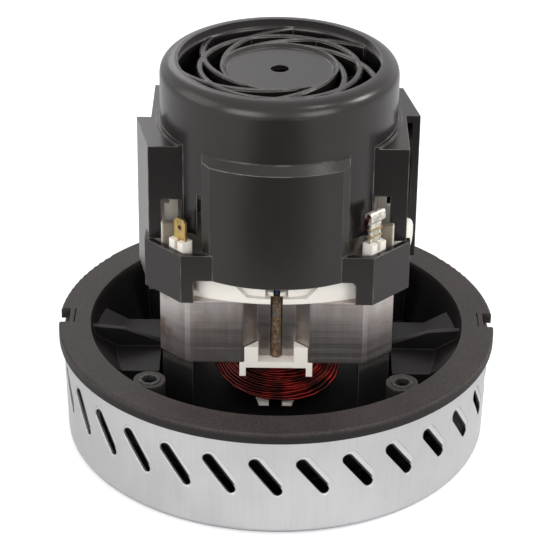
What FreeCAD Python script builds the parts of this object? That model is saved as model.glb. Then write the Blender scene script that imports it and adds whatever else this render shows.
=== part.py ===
import FreeCAD, Part
import math
import os

# Wet and dry vacuum motor with a side-blowing fan: millimetres, +Z up.
# The origin is on the shaft axis, in the plane that the fan casing stands on.
# The terminals and the long flat of the cover face -Y.

# Fan casing: a drawn aluminium cup with pressed slots
CASING_R_FOOT = 65.4
CASING_R_TOP = 66.2
CASING_TOP = 32.8
CASING_WALL = 1.0
CASING_EDGE_R = 2.35
EYE_R = 21.0
EYE_LIP_TOP = 3.4
SLOT_COUNT = 30
SLOT_FIRST_DEG = -2.3
SLOT_Z = 19.9
SLOT_W = 3.0
SLOT_RISE = 9.0
SLOT_RUN = 6.9
COIN_W = 5.0
COIN_SHIFT = 1.1
COIN_DEPTH = 0.38
SLOT_REACH = 3.0

# Motor bracket: the black moulding with the rim, the dish and the lower bearing
RIM_OVERHANG = 1.3
RIM_LAND = 9.8
RIM_TOP = 36.35
RIM_EDGE_R = 0.8
RIM_NOTCH_W = 8.6
RIM_NOTCH_DEPTH = 3.2
RIM_LINE_INSET = 4.6
RIM_LINE_W = 0.45
RIM_LINE_DEPTH = 0.7
DISH_DRAFT = 3.7
DISH_WALL = 2.4
FLOOR_TOP = 16.4
FLOOR_T = 2.0
SPIGOT_DROP = 4.2
SPIGOT_W = 2.2
SPIGOT_GAP = 0.05
BOSS_INSET = 4.667
BOSS_R = 4.75
BOSS_TOP = 35.9
INSERT_R = 3.2
INSERT_BORE_R = 2.2
INSERT_LENGTH = 9.0
GUSSET_T = 1.8
GUSSET_LOW = 28.0
GUSSET_HIGH = 33.0
GUSSET_KNEE = 10.2
PLATFORM_TOP = 26.0
PLATFORM_X = 35.8
PLATFORM_Y = 16.0
PLATFORM_WALL = 2.0
PLATFORM_RAMP_W = 6.0
PLATFORM_RAMP_H = 4.0
CRADLE_T = 5.8
CRADLE_REACH = 10.0

# Stator stack and its field coils
STACK_BOTTOM = 38.6
STACK_H = 20.6
STACK_X = 34.8
STACK_Y = 31.3
STACK_CHAMFER_X = 8.4
STACK_CHAMFER_Y = 7.9
STACK_STEP = 0.7
BACK_RECESS_X = 9.9
BACK_FLAT_X = 5.7
BACK_FLAT_DEPTH = 4.1
GROOVE_W = 3.5
GROOVE_DEPTH = 1.9
BORE_R = 19.2
POLE_NECK_DEG = 20.0
POLE_TIP_DEG = 58.0
POLE_SHOE = 3.0
SLOT_R = 27.2
BOLT_INSET = 3.6
WIRE_R = 0.6
WIRE_PITCH = 2.05
COIL_TURNS = 6
COIL_LAYERS = 2
COIL_R = 23.6
COIL_HALF_ARC = 10.6
COIL_LEG_OVER = 1.2
COIL_SAG = 4.4
CROSSING_LIFT = 1.3

# Plastic coil formers under the stack
FORMER_X = 10.9
FORMER_T = 1.9
FORMER_TIP_W = 1.9
FORMER_TIP_DROP = 4.85
FORMER_LEG_RISE = 5.2
FORMER_WALL = 1.5
FORMER_GAP = 0.1
FORMER_NECK_X = 7.2
APRON_DROP = 9.0
HORN_X_IN = 2.0
HORN_X_OUT = 6.0
HORN_TAPER = 1.0
FOOT_Z = 20.1
FOOT_T = 0.8
FOOT_REACH = 3.4
COIL_CLEAR = 0.35

# Upper end frame: the white moulding with the brush guides and upper bearing
FLANGE_T = 1.8
FLANGE_Y = 32.7
FLANGE_R = 64.0
FLANGE_X = 31.6
BLOCK_X_FOOT = 8.8
BLOCK_X_IN = 12.6
BLOCK_X_OUT = 24.0
BLOCK_SLANT_H = 4.0
BLOCK_END_R = 2.2
BLOCK_TOP = 67.0
BLOCK_T = 7.5
COLLAR_R = 31.4
COLLAR_T = 2.0
COLLAR_TOP = 79.4
SOCKET_X = 28.3
SOCKET_Y = 27.6
SOCKET_LONG = 5.9
SOCKET_SHORT = 3.8
SOCKET_TOP = 78.0
SOCKET_CUT = 1.3
SOCKET_CUT_DEPTH = 6.0
TAB_SLOT_L = 5.0
FIN_X_IN = 29.3
FIN_X_OUT = 33.5
FIN_STEP_W = 1.5
FIN_STEP_TOP = 84.8
FIN_Y = 16.4
FIN_T = 1.8
FIN_TOP = 92.0
CHEEK_X_IN = 30.2
CHEEK_X_OUT = 34.2
CHEEK_Y = 22.2
CHEEK_T = 2.4
CHEEK_TOP = 81.4
SPOKE_T = 5.0
CUP_WALL = 2.6

# Brush gear: the axis is turned a little from X
BRUSH_TURN_DEG = -13.0
BRUSH_Z = 70.8
BRUSH_T = 6.4
BRUSH_H = 8.6
BRUSH_LENGTH = 16.0
BRUSH_SIDE_GAP = 0.1
BRUSH_FACE_GAP = 0.3
TUBE_WALL = 0.6
TUBE_START = 16.5
GUIDE_WALL = 1.3
GUIDE_START = 18.4
GUIDE_END = 38.6
GUIDE_GAP = 0.05
CAP_R = 4.9
CAP_RIM = 1.0
CAP_DOME = 1.6
SPRING_R = 2.6
SPRING_WIRE_R = 0.3
SPRING_TURNS = 5
SPRING_GAP = 0.3

# Terminals
TAB_W = 4.8
TAB_T = 0.8
TAB_TOP = 84.7
TAB_HOLE_R = 0.75
TAB_CORNER = 1.1
CRIMP_W = 4.6
CRIMP_TOP = 88.2
CRIMP_ROLL_R = 1.3
CRIMP_ROLL_H = 4.0
CRIMP_ROLL_OVER = 0.7
CRIMP_BORE_R = 0.8
CRIMP_BAND_Z = (79.6, 81.9)
CRIMP_BAND_H = 0.5
CRIMP_BAND_PROUD = 0.25

# Rotor
SHAFT_R = 4.0
SHAFT_TOP_R = 3.5
SHAFT_BOTTOM = 3.6
SHAFT_TOP = 117.0
AIR_GAP = 0.5
ARM_SLOTS = 12
ARM_SLOT_W = 2.2
ARM_SLOT_DEPTH = 5.2
END_WIND_R = 16.6
END_WIND_LOW = 8.0
END_WIND_HIGH = 5.0
COMM_R = 11.4
COMM_RISER_R = 12.6
COMM_RISER_H = 1.8
COMM_BOTTOM = 64.2
COMM_TOP = 77.4
COMM_BARS = 24
COMM_CUT_W = 0.5
COMM_CUT_DEPTH = 0.7

# Bearings
LOWER_BEARING_R = 11.0
LOWER_BEARING_H = 7.0
LOWER_BEARING_Z = 18.4
UPPER_BEARING_R = 9.5
UPPER_BEARING_H = 6.0
UPPER_BEARING_Z = 84.0
BALL_COUNT = 7
BEARING_LIP = 3.0
RACE_SHARE = 0.3
BALL_GAP = 0.05
CAGE_GAP = 0.35
CAGE_RIM = 0.6

# Impeller and cooling fan
IMPELLER_TIP_GAP = 9.4
IMPELLER_BACK_Z = 12.4
PLATE_T = 0.8
IMPELLER_EYE_R = 22.6
IMPELLER_NECK_Z = 2.2
FRONT_PLATE_Z = 4.2
FRONT_PLATE_RISE = 2.0
BLADE_COUNT = 7
BLADE_T = 0.9
BLADE_R_IN = 25.0
BLADE_SWEEP_DEG = 62.0
SPACER_R = 6.0
WASHER_R = 12.0
WASHER_T = 1.2
NUT_FLATS = 13.0
NUT_H = 5.0
FAN_R = 29.0
FAN_Z = 101.0
FAN_DISC_T = 1.6
FAN_BLADES = 11
FAN_BLADE_H = 11.0
FAN_BLADE_T = 1.4
FAN_HUB_R = 8.0
FAN_R_IN = 13.0
CLIP_R = 5.6
CLIP_T = 0.8

# Top cover
COVER_R = 35.35
COVER_TOP = 123.9
COVER_WALL = 2.2
COVER_EDGE_R = 4.4
COVER_RING_IN = 30.0
COVER_RING_T = 3.2
COVER_TUBE_BOTTOM = 78.4
FOOT_STEP = 1.2
BOX_X = 37.9
BOX_Y = 22.0
BOX_TOP = 105.0
SKIRT_BOTTOM = 59.65
SILL_Z = 75.2
SKIRT_Y = 33.2
SKIRT_FLAT_X = 28.2
SKIRT_CORNER_X = 39.2
SKIRT_CORNER_Y = 22.0
WING_X = 42.2
WING_Y = 1.5
WING_BOTTOM = 58.0
PANEL_X_LEFT = 22.0
PANEL_X_RIGHT = 20.6
PANEL_Y = 38.1
PANEL_R = 39.0
PANEL_BOTTOM = 67.0
PANEL_TOP = 105.7
PANEL_BEVEL = 2.3
PANEL_SIDE_BEVEL = 0.8
NOTCH_X_LEFT = 24.5
NOTCH_X_RIGHT = 23.1
NOTCH_CORNER_R = 1.6
WINDOW_L_IN = 28.3
WINDOW_L_OUT = 34.1
WINDOW_L_TOP = 88.0
WINDOW_R_IN = 28.1
WINDOW_R_OUT = 32.9
WINDOW_R_TOP = 89.8
FRONT_WALL_BOTTOM = 77.0
SLIT_X_IN = 22.3
SLIT_X_OUT = 23.5
SLIT_TOP = 92.0
BRUSH_DOOR_BOTTOM = 64.0
BRUSH_DOOR_TOP = 101.0
REST_RIB_DEG = 55.0
REST_RIB_T = 3.0
REST_RIB_H = 6.0
GRILLE_TOP = 121.4
GRILLE_DEPTH = 5.0
ARM_COUNT = 7
ARM_W = 1.9
ARM_CHAMFER = 0.45
ARM_START_DEG = 85.0
ARM_SPAN_DEG = 105.0
MID_RING_R = 24.5
DISC_R = 17.5
DISC_T = 2.4
DISC_LIP = 1.0
DISC_LIP_W = 1.9
DISC_HOLE_R = 2.75

# Screws
CLAMP_R = 1.45
CLAMP_NECK_R = 0.85
CLAMP_NECK_L = 2.6
CLAMP_HEAD_R = 1.6
CLAMP_HEAD_T = 0.8
CLAMP_RING_R = 4.1
CLAMP_RING_T = 1.2
CLAMP_NOTCH_W = 3.6
CLAMP_PLAY = 0.15
CLAMP_POCKET_R = 4.6
CLAMP_POCKET_TOP = 68.0
BOLT_R = 1.95
BOLT_HEAD_R = 3.6
BOLT_HEAD_T = 2.4
BOLT_DEPTH = 11.0
BOLT_GAP = 0.15

STACK_TOP = STACK_BOTTOM + STACK_H
FLANGE_TOP = STACK_TOP + FLANGE_T
FLOOR_BOTTOM = FLOOR_TOP - FLOOR_T
RIM_R = CASING_R_TOP + RIM_OVERHANG
DISH_R_TOP = RIM_R - RIM_LAND
DISH_R_FLOOR = DISH_R_TOP - DISH_DRAFT
BOSS_X = (DISH_R_TOP - BOSS_INSET) / math.sqrt(2)
BOSS_Y = BOSS_X
IMPELLER_R = CASING_R_FOOT - IMPELLER_TIP_GAP
LOWER_BEARING = (SHAFT_R, LOWER_BEARING_R, LOWER_BEARING_H)
UPPER_BEARING = (SHAFT_TOP_R, UPPER_BEARING_R, UPPER_BEARING_H)
AXIS = FreeCAD.Vector(0, 0, 1)
ORIGIN = FreeCAD.Vector(0, 0, 0)
BIG = 200.0


def vec(x, y, z=0.0):
    return FreeCAD.Vector(x, y, z)


def on_circle(radius, degrees, z=0.0):
    angle = math.radians(degrees)
    return vec(radius * math.cos(angle), radius * math.sin(angle), z)


def disc(radius, low, high, x=0.0, y=0.0):
    return Part.makeCylinder(radius, high - low, vec(x, y, low))


def ring(outer, inner, low, high):
    return disc(outer, low, high).cut(disc(inner, low, high))


def block(x0, x1, y0, y1, z0, z1):
    return Part.makeBox(x1 - x0, y1 - y0, z1 - z0, vec(x0, y0, z0))


def prism(points, low, high):
    corners = [vec(x, y, low) for x, y in points]
    face = Part.Face(Part.makePolygon(corners + corners[:1]))
    return face.extrude(vec(0, 0, high - low))


def turned(points):
    """A solid of revolution about Z from (radius, height) corners."""
    corners = [vec(r, 0, z) for r, z in points]
    face = Part.Face(Part.makePolygon(corners + corners[:1]))
    return face.revolve(ORIGIN, AXIS, 360)


def spun(shape, degrees):
    copy = shape.copy()
    copy.rotate(ORIGIN, AXIS, degrees)
    return copy


def mirrored(shape, normal):
    return shape.mirror(ORIGIN, normal)


def four_ways(shape):
    """The shape and its images across the X and Y planes."""
    pair = [shape, mirrored(shape, vec(1, 0, 0))]
    return pair + [mirrored(one, vec(0, 1, 0)) for one in pair]


def fuse(shapes):
    return shapes[0].multiFuse(shapes[1:]).removeSplitter() if len(shapes) > 1 else shapes[0]


def sector(radius, first, last, low, high):
    """A pie slice from one angle to another, in degrees from +X."""
    slice_solid = Part.makeCylinder(radius, high - low, vec(0, 0, low), AXIS, last - first)
    return spun(slice_solid, first)


def around(shape, count, first=0.0):
    return [spun(shape, first + 360.0 * i / count) for i in range(count)]


# Fan casing

def slot_stub(width, shift, depth_from, depth_to):
    """One slanted slot at the front, as an obround bar along the radius."""
    lean = math.atan2(SLOT_RUN, SLOT_RISE)
    half = math.hypot(SLOT_RUN, SLOT_RISE) / 2
    bar = block(-width / 2, width / 2, depth_from, depth_to, -half, half)
    for end in (-half, half):
        end_round = Part.makeCylinder(width / 2, depth_to - depth_from, vec(0, depth_from, end), vec(0, 1, 0))
        bar = bar.fuse(end_round)
    bar.rotate(ORIGIN, vec(0, 1, 0), -math.degrees(lean))
    bar.translate(vec(shift * math.cos(lean), 0, SLOT_Z + shift * math.sin(lean)))
    return bar


def casing_r(z):
    """The casing's outer radius at a height, on its slightly tapered wall."""
    return CASING_R_FOOT + (CASING_R_TOP - CASING_R_FOOT) * z / CASING_TOP


def fan_casing():
    outer = turned([(0, 0), (CASING_R_FOOT, 0), (CASING_R_TOP, CASING_TOP), (0, CASING_TOP)])
    inner = turned([
        (0, CASING_WALL),
        (CASING_R_FOOT - CASING_WALL, CASING_WALL),
        (CASING_R_TOP - CASING_WALL, CASING_TOP),
        (0, CASING_TOP),
    ])
    foot_edge = [e for e in outer.Edges if e.BoundBox.ZMax < 0.01 and e.BoundBox.XMax > CASING_R_FOOT - 1]
    outer = outer.makeFillet(CASING_EDGE_R, foot_edge)
    low_edge = [e for e in inner.Edges if e.BoundBox.ZMax < CASING_WALL + 0.01 and e.BoundBox.XMax > EYE_R]
    inner = inner.makeFillet(CASING_EDGE_R - CASING_WALL, low_edge)
    shell = outer.cut(inner)
    lip = ring(EYE_R + CASING_WALL, EYE_R, 0, EYE_LIP_TOP)
    shell = shell.fuse(lip).cut(disc(EYE_R, 0, CASING_WALL))
    slot_r = casing_r(SLOT_Z)
    through = slot_stub(SLOT_W, 0, -slot_r - SLOT_REACH, -slot_r + SLOT_REACH)
    coined = slot_stub(COIN_W, COIN_SHIFT, -slot_r - SLOT_REACH, -slot_r + COIN_DEPTH)
    cutters = around(coined, SLOT_COUNT, SLOT_FIRST_DEG) + around(through, SLOT_COUNT, SLOT_FIRST_DEG)
    return shell.cut(cutters)


# Motor bracket

def dish_inner_r(z):
    share = (z - FLOOR_TOP) / (RIM_TOP - FLOOR_TOP)
    return DISH_R_FLOOR + (DISH_R_TOP - DISH_R_FLOOR) * share


def bracket_profile():
    housing_r = LOWER_BEARING[1] + BEARING_LIP
    housing_top = LOWER_BEARING_Z + LOWER_BEARING[2] + 1.0
    spigot_low = CASING_TOP - SPIGOT_DROP
    spigot_low_r = casing_r(spigot_low) - CASING_WALL - SPIGOT_GAP
    spigot_top_r = casing_r(CASING_TOP) - CASING_WALL - SPIGOT_GAP
    wall_bottom_r = DISH_R_FLOOR + DISH_WALL
    return [
        (housing_r - 2 * BEARING_LIP, FLOOR_BOTTOM),
        (wall_bottom_r, FLOOR_BOTTOM),
        (DISH_R_TOP + DISH_WALL, CASING_TOP - 1.0),
        (spigot_low_r - SPIGOT_W, CASING_TOP - 1.0),
        (spigot_low_r - SPIGOT_W, spigot_low),
        (spigot_low_r, spigot_low),
        (spigot_top_r, CASING_TOP),
        (RIM_R, CASING_TOP),
        (RIM_R, RIM_TOP),
        (DISH_R_TOP, RIM_TOP),
        (DISH_R_FLOOR, FLOOR_TOP),
        (housing_r, FLOOR_TOP),
        (housing_r, housing_top),
        (LOWER_BEARING[1], housing_top),
        (LOWER_BEARING[1], LOWER_BEARING_Z),
        (housing_r - 2 * BEARING_LIP, LOWER_BEARING_Z),
    ]


def stator_cradle():
    """A U-shaped seat for one side of the stack, on the +X side."""
    reach = STACK_Y - STACK_CHAMFER_Y
    outline = [
        (STACK_X - 0.6, -reach),
        (STACK_X - 0.6, reach),
        (STACK_X - CRADLE_REACH, STACK_Y - 1.2),
        (STACK_X - CRADLE_REACH, STACK_Y - 1.2 - CRADLE_T),
        (STACK_X - CRADLE_T, reach - CRADLE_T / 2),
        (STACK_X - CRADLE_T, -reach + CRADLE_T / 2),
        (STACK_X - CRADLE_REACH, -STACK_Y + 1.2 + CRADLE_T),
        (STACK_X - CRADLE_REACH, -STACK_Y + 1.2),
    ]
    return prism(outline, FLOOR_TOP, STACK_BOTTOM)


def gusset():
    """The upright wall from the cradle out to the rim, rising outwards."""
    low_x = STACK_X - 1.0
    corners = [
        vec(low_x, 0, FLOOR_TOP),
        vec(low_x, 0, GUSSET_LOW - 1.0),
        vec(STACK_X + 1.8, 0, GUSSET_LOW),
        vec(DISH_R_TOP - GUSSET_KNEE, 0, GUSSET_HIGH - 1.0),
        vec(DISH_R_TOP + 0.8, 0, GUSSET_HIGH),
        vec(DISH_R_FLOOR + 1.0, 0, FLOOR_TOP),
    ]
    face = Part.Face(Part.makePolygon(corners + corners[:1]))
    wall = face.extrude(vec(0, GUSSET_T, 0))
    wall.translate(vec(0, -GUSSET_T / 2, 0))
    return wall


def platform():
    """The raised hollow step between a gusset and a screw boss, with a ramp up to the dish wall."""
    foot_r = dish_inner_r(PLATFORM_TOP) - PLATFORM_RAMP_W
    ramp_top = PLATFORM_TOP + PLATFORM_RAMP_H
    envelope = turned([
        (0, FLOOR_BOTTOM),
        (dish_inner_r(FLOOR_BOTTOM) + 0.8, FLOOR_BOTTOM),
        (dish_inner_r(ramp_top) + 0.8, ramp_top),
        (dish_inner_r(ramp_top), ramp_top),
        (foot_r, PLATFORM_TOP),
        (0, PLATFORM_TOP),
    ])
    return envelope.common(block(PLATFORM_X, RIM_R, 0, PLATFORM_Y, FLOOR_BOTTOM, ramp_top))


def platform_pocket():
    """The open underside of a platform."""
    wall = PLATFORM_WALL
    space = block(PLATFORM_X + wall, RIM_R, GUSSET_T / 2, PLATFORM_Y - wall, FLOOR_BOTTOM, PLATFORM_TOP - wall)
    return space.common(disc(DISH_R_FLOOR - wall, FLOOR_BOTTOM, PLATFORM_TOP))


def boss_web():
    """The flat web that ties a screw boss to the dish wall."""
    distance = math.hypot(BOSS_X, BOSS_Y)
    web = block(distance, dish_inner_r(BOSS_TOP) + 0.4, -1.0, 1.0, FLOOR_TOP, BOSS_TOP - 4.0)
    return spun(web, math.degrees(math.atan2(BOSS_Y, BOSS_X)))


def motor_bracket():
    body = turned(bracket_profile())
    top_edge = [e for e in body.Edges if abs(e.BoundBox.ZMin - RIM_TOP) < 0.01 and e.BoundBox.XMax > RIM_R - 0.01]
    body = body.makeFillet(RIM_EDGE_R, top_edge)
    extras = []
    for turn in (0, 180):
        extras += [spun(stator_cradle(), turn), spun(gusset(), turn)]
    extras += four_ways(disc(BOSS_R, FLOOR_TOP, BOSS_TOP, BOSS_X, BOSS_Y))
    extras += four_ways(boss_web()) + four_ways(platform())
    body = fuse([body] + extras)
    notch = block(RIM_R - RIM_NOTCH_DEPTH, RIM_R + 1, -RIM_NOTCH_W / 2, RIM_NOTCH_W / 2, CASING_TOP, BIG)
    line_x = RIM_R - RIM_LINE_INSET
    line = block(line_x - RIM_LINE_W, line_x, -RIM_NOTCH_W / 2, RIM_NOTCH_W / 2, RIM_TOP - RIM_LINE_DEPTH, BIG)
    insert_hole = disc(INSERT_R, BOSS_TOP - INSERT_LENGTH, BIG, BOSS_X, BOSS_Y)
    bolt_hole = disc(BOLT_R, STACK_BOTTOM - BOLT_DEPTH, STACK_BOTTOM + 1, STACK_X - BOLT_INSET, 0)
    cutters = four_ways(insert_hole) + four_ways(platform_pocket())
    for cutter in (notch, line, bolt_hole):
        cutters += [cutter, spun(cutter, 180)]
    return body.cut(cutters)


def mount_inserts():
    sleeve = disc(INSERT_R, BOSS_TOP - INSERT_LENGTH, BOSS_TOP + 0.2, BOSS_X, BOSS_Y)
    bore = disc(INSERT_BORE_R, BOSS_TOP - INSERT_LENGTH, BOSS_TOP + 0.2, BOSS_X, BOSS_Y)
    return Part.makeCompound(four_ways(sleeve.cut(bore)))


# Stator

def stack_outline():
    """Half of the lamination's outline, from +X round by -Y to -X."""
    right = [
        (STACK_X, -(STACK_Y - STACK_CHAMFER_Y)),
        (STACK_X - STACK_CHAMFER_X + STACK_STEP, -(STACK_Y - STACK_STEP)),
        (STACK_X - STACK_CHAMFER_X - STACK_STEP, -STACK_Y),
        (BACK_RECESS_X, -STACK_Y),
        (BACK_FLAT_X, -(STACK_Y - BACK_FLAT_DEPTH)),
        (GROOVE_W / 2, -(STACK_Y - BACK_FLAT_DEPTH)),
        (GROOVE_W / 2, -(STACK_Y - BACK_FLAT_DEPTH - GROOVE_DEPTH)),
    ]
    return right + [(-x, y) for x, y in reversed(right)]


def stator_core():
    front = stack_outline()
    body = prism(front + [(-x, -y) for x, y in front], STACK_BOTTOM, STACK_TOP)
    window = sector(SLOT_R, -90 + POLE_NECK_DEG, 90 - POLE_NECK_DEG, STACK_BOTTOM, STACK_TOP)
    for first in (-90 + POLE_NECK_DEG, 90 - POLE_TIP_DEG):
        last = first + POLE_TIP_DEG - POLE_NECK_DEG
        window = window.cut(sector(BORE_R + POLE_SHOE, first - 1, last, STACK_BOTTOM, STACK_TOP))
    bore = disc(BORE_R, STACK_BOTTOM, STACK_TOP)
    hole = disc(BOLT_R + BOLT_GAP, STACK_BOTTOM, STACK_TOP, STACK_X - BOLT_INSET, 0)
    return body.cut([bore, window, spun(window, 180), hole, spun(hole, 180)])


def biarc(p0, t0, p1, t1):
    """Two tangent arcs from p0 along t0 to p1 along t1, both with equal handles."""
    chord = p1 - p0
    bend = t0 + t1
    square = bend.dot(bend) - 4
    cross = chord.dot(bend)
    handle = (cross - math.sqrt(cross * cross - square * chord.dot(chord))) / square
    a0 = p0 + t0 * handle
    a1 = p1 - t1 * handle
    joint = (a0 + a1) * 0.5
    return [tangent_arc(p0, a0, joint), tangent_arc(joint, a1, p1)]


def tangent_arc(start, corner, end):
    """The arc tangent to start-corner and corner-end, where both legs are equally long."""
    half_chord = (end - start).Length / 2
    middle = (start + end) * 0.5
    to_corner = corner - middle
    rise = half_chord * math.tan(math.atan2(to_corner.Length, half_chord) / 2)
    return Part.Arc(start, middle + to_corner.normalize() * rise, end).toShape()


def coil_path():
    """Loops round the front pole on two cylinders about the shaft, out and then back."""
    low = STACK_BOTTOM - COIL_LEG_OVER
    top = STACK_TOP + COIL_LEG_OVER
    last = 2 * COIL_TURNS * COIL_LAYERS - 1

    def place(half_turn):
        """The loop's growth and its cylinder, counted in half turns."""
        layer, within = divmod(half_turn, 2 * COIL_TURNS)
        grown = within if layer % 2 == 0 else 2 * COIL_TURNS - 1 - within
        return grown * WIRE_PITCH / 2, COIL_R + WIRE_PITCH * layer

    def leg_point(half_turn, z):
        grown, radius = place(half_turn)
        side = 1 if half_turn % 2 == 0 else -1
        angle = side * (COIL_HALF_ARC + grown) / (COIL_R + WIRE_PITCH / 2)
        return vec(radius * math.sin(angle), -radius * math.cos(angle), z)

    def crown_point(half_turn, base, way):
        grown0, radius0 = place(half_turn)
        grown1, radius1 = place(half_turn + 1)
        lift = CROSSING_LIFT if radius0 != radius1 else 0
        return vec(0, -(radius0 + radius1) / 2, base + way * (COIL_SAG + (grown0 + grown1) / 2 + lift))

    edges = [Part.makeLine(leg_point(0, top), leg_point(0, low))]
    for half_turn in range(last):
        upper = half_turn % 2 == 1
        base, other = (top, low) if upper else (low, top)
        way = 1 if upper else -1
        away = vec(0, 0, way)
        across = vec(way, 0, 0)
        crown = crown_point(half_turn, base, way)
        end = leg_point(half_turn + 1, base)
        edges += biarc(leg_point(half_turn, base), away, crown, across)
        edges += biarc(crown, across, end, away * -1)
        edges.append(Part.makeLine(end, leg_point(half_turn + 1, other)))
    return Part.Wire(edges)


def least_gap(path, wire_r):
    """The smallest clear distance between stretches of the wire that aren't neighbours."""
    points = path.discretize(Distance=1.2)
    apart = int(6 * wire_r / 1.2) + 4
    best = BIG
    for i in range(0, len(points), 2):
        for j in range(i + apart, len(points)):
            best = min(best, (points[i] - points[j]).Length)
    return best - 2 * wire_r


def field_coil():
    path = coil_path()
    print("field coil least gap", round(least_gap(path, WIRE_R), 3))
    start = path.Edges[0]
    circle = Part.makeCircle(WIRE_R, start.valueAt(start.FirstParameter), start.tangentAt(start.FirstParameter))
    return path.makePipeShell([Part.Wire(circle)], True, False)


def coil_former():
    """The plastic bar, clips, apron and feet that hold the front coil."""
    front = -STACK_Y
    low = STACK_BOTTOM - FORMER_T
    outer_y = -(COIL_R + WIRE_PITCH * (COIL_LAYERS - 1) + WIRE_R + COIL_CLEAR)
    inner_y = -(COIL_R - WIRE_R - COIL_CLEAR)
    bar = block(-FORMER_X, FORMER_X, front, outer_y, low, STACK_BOTTOM)
    shell = ring(-inner_y, -inner_y - FORMER_WALL, FOOT_Z, low)
    bridge = block(-FORMER_NECK_X, FORMER_NECK_X, outer_y, inner_y + FORMER_WALL, low, STACK_BOTTOM)
    apron = shell.common(block(-FORMER_NECK_X, FORMER_NECK_X, inner_y, 0, low - APRON_DROP, low))
    tip = block(FORMER_X - FORMER_TIP_W, FORMER_X, front, front + FORMER_WALL, STACK_BOTTOM - FORMER_TIP_DROP, low)
    back = STACK_Y - BACK_FLAT_DEPTH
    leg = prism([
        (BACK_RECESS_X - FORMER_GAP * 4, front),
        (BACK_FLAT_X - FORMER_GAP * 4, -back - FORMER_GAP),
        (BACK_FLAT_X - FORMER_GAP * 4, front),
    ], STACK_BOTTOM, STACK_BOTTOM + FORMER_LEG_RISE)
    horn = shell.common(block(HORN_X_IN, HORN_X_OUT, inner_y, 0, FOOT_Z, low - APRON_DROP))
    foot = prism([
        (HORN_X_IN, inner_y + FORMER_WALL * 0.8),
        (HORN_X_OUT, inner_y + FORMER_WALL * 0.8),
        (HORN_X_OUT - HORN_TAPER, inner_y - FOOT_REACH),
        (HORN_X_IN, inner_y - FOOT_REACH),
    ], FOOT_Z, FOOT_Z + FOOT_T)
    pieces = [bar, bridge, apron]
    for piece in (tip, leg, horn, foot):
        pieces += [piece, mirrored(piece, vec(1, 0, 0))]
    return fuse(pieces).cut(disc(CLAMP_R, low, STACK_BOTTOM, 0, -clamp_y()))


# Upper end frame

def arc_strip(y_front, radius, x_half, depth, low, high):
    """A strip with a bowed front face, square ends and a flat back, on the -Y side."""
    centre_y = -y_front + radius
    slab = block(-x_half, x_half, -y_front - 1, -y_front + depth, low, high)
    return slab.common(disc(radius, low, high, 0, centre_y))


def socket_turned(shape, x_sign):
    """Place a part drawn at the origin at a front terminal corner, parallel to the sill."""
    slope = math.degrees(math.atan2(SKIRT_Y - SKIRT_CORNER_Y, SKIRT_CORNER_X - SKIRT_FLAT_X))
    placed = spun(shape, slope * x_sign)
    placed.translate(vec(SOCKET_X * x_sign, -SOCKET_Y, 0))
    return placed


def terminal_socket():
    body = block(-SOCKET_LONG / 2, SOCKET_LONG / 2, -SOCKET_SHORT / 2, SOCKET_SHORT / 2, STACK_TOP, SOCKET_TOP)
    slot = block(
        -TAB_SLOT_L / 2, TAB_SLOT_L / 2, -TAB_T / 2, TAB_T / 2, SOCKET_TOP - SOCKET_CUT_DEPTH, SOCKET_TOP
    )
    notch = block(
        -SOCKET_CUT / 2, SOCKET_CUT / 2, -SOCKET_SHORT / 2, -TAB_T / 2, SOCKET_TOP - SOCKET_CUT_DEPTH / 2, SOCKET_TOP
    )
    return body.cut([slot, notch])


def brush_axis_box(r0, r1, width, height):
    """A box along the brush axis, centred on the brush height, before the turn."""
    return block(r0, r1, -width / 2, width / 2, BRUSH_Z - height / 2, BRUSH_Z + height / 2)


TUBE_IN_W = BRUSH_T + 2 * BRUSH_SIDE_GAP
TUBE_IN_H = BRUSH_H + 2 * BRUSH_SIDE_GAP
TUBE_OUT_W = TUBE_IN_W + 2 * TUBE_WALL
TUBE_OUT_H = TUBE_IN_H + 2 * TUBE_WALL
GUIDE_IN_W = TUBE_OUT_W + 2 * GUIDE_GAP
GUIDE_IN_H = TUBE_OUT_H + 2 * GUIDE_GAP
GUIDE_OUT_W = GUIDE_IN_W + 2 * GUIDE_WALL
GUIDE_OUT_H = GUIDE_IN_H + 2 * GUIDE_WALL


def bearing_spoke():
    cup_r = UPPER_BEARING[1] + CUP_WALL
    top = UPPER_BEARING_Z + UPPER_BEARING[2]
    inner = COLLAR_R - COLLAR_T
    corners = [
        vec(cup_r - 1.0, 0, UPPER_BEARING_Z - 1.0),
        vec(cup_r - 1.0, 0, top - 0.5),
        vec(cup_r + 4.0, 0, top - 0.5),
        vec(COLLAR_R - 0.4, 0, COLLAR_TOP + 3.0),
        vec(COLLAR_R - 0.4, 0, COLLAR_TOP - 5.0),
        vec(inner - 1.2, 0, COLLAR_TOP - 5.0),
        vec(cup_r + 3.0, 0, UPPER_BEARING_Z - 1.0),
    ]
    spoke = Part.Face(Part.makePolygon(corners + corners[:1])).extrude(vec(0, SPOKE_T, 0))
    spoke.translate(vec(0, -SPOKE_T / 2, 0))
    return spoke


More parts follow.
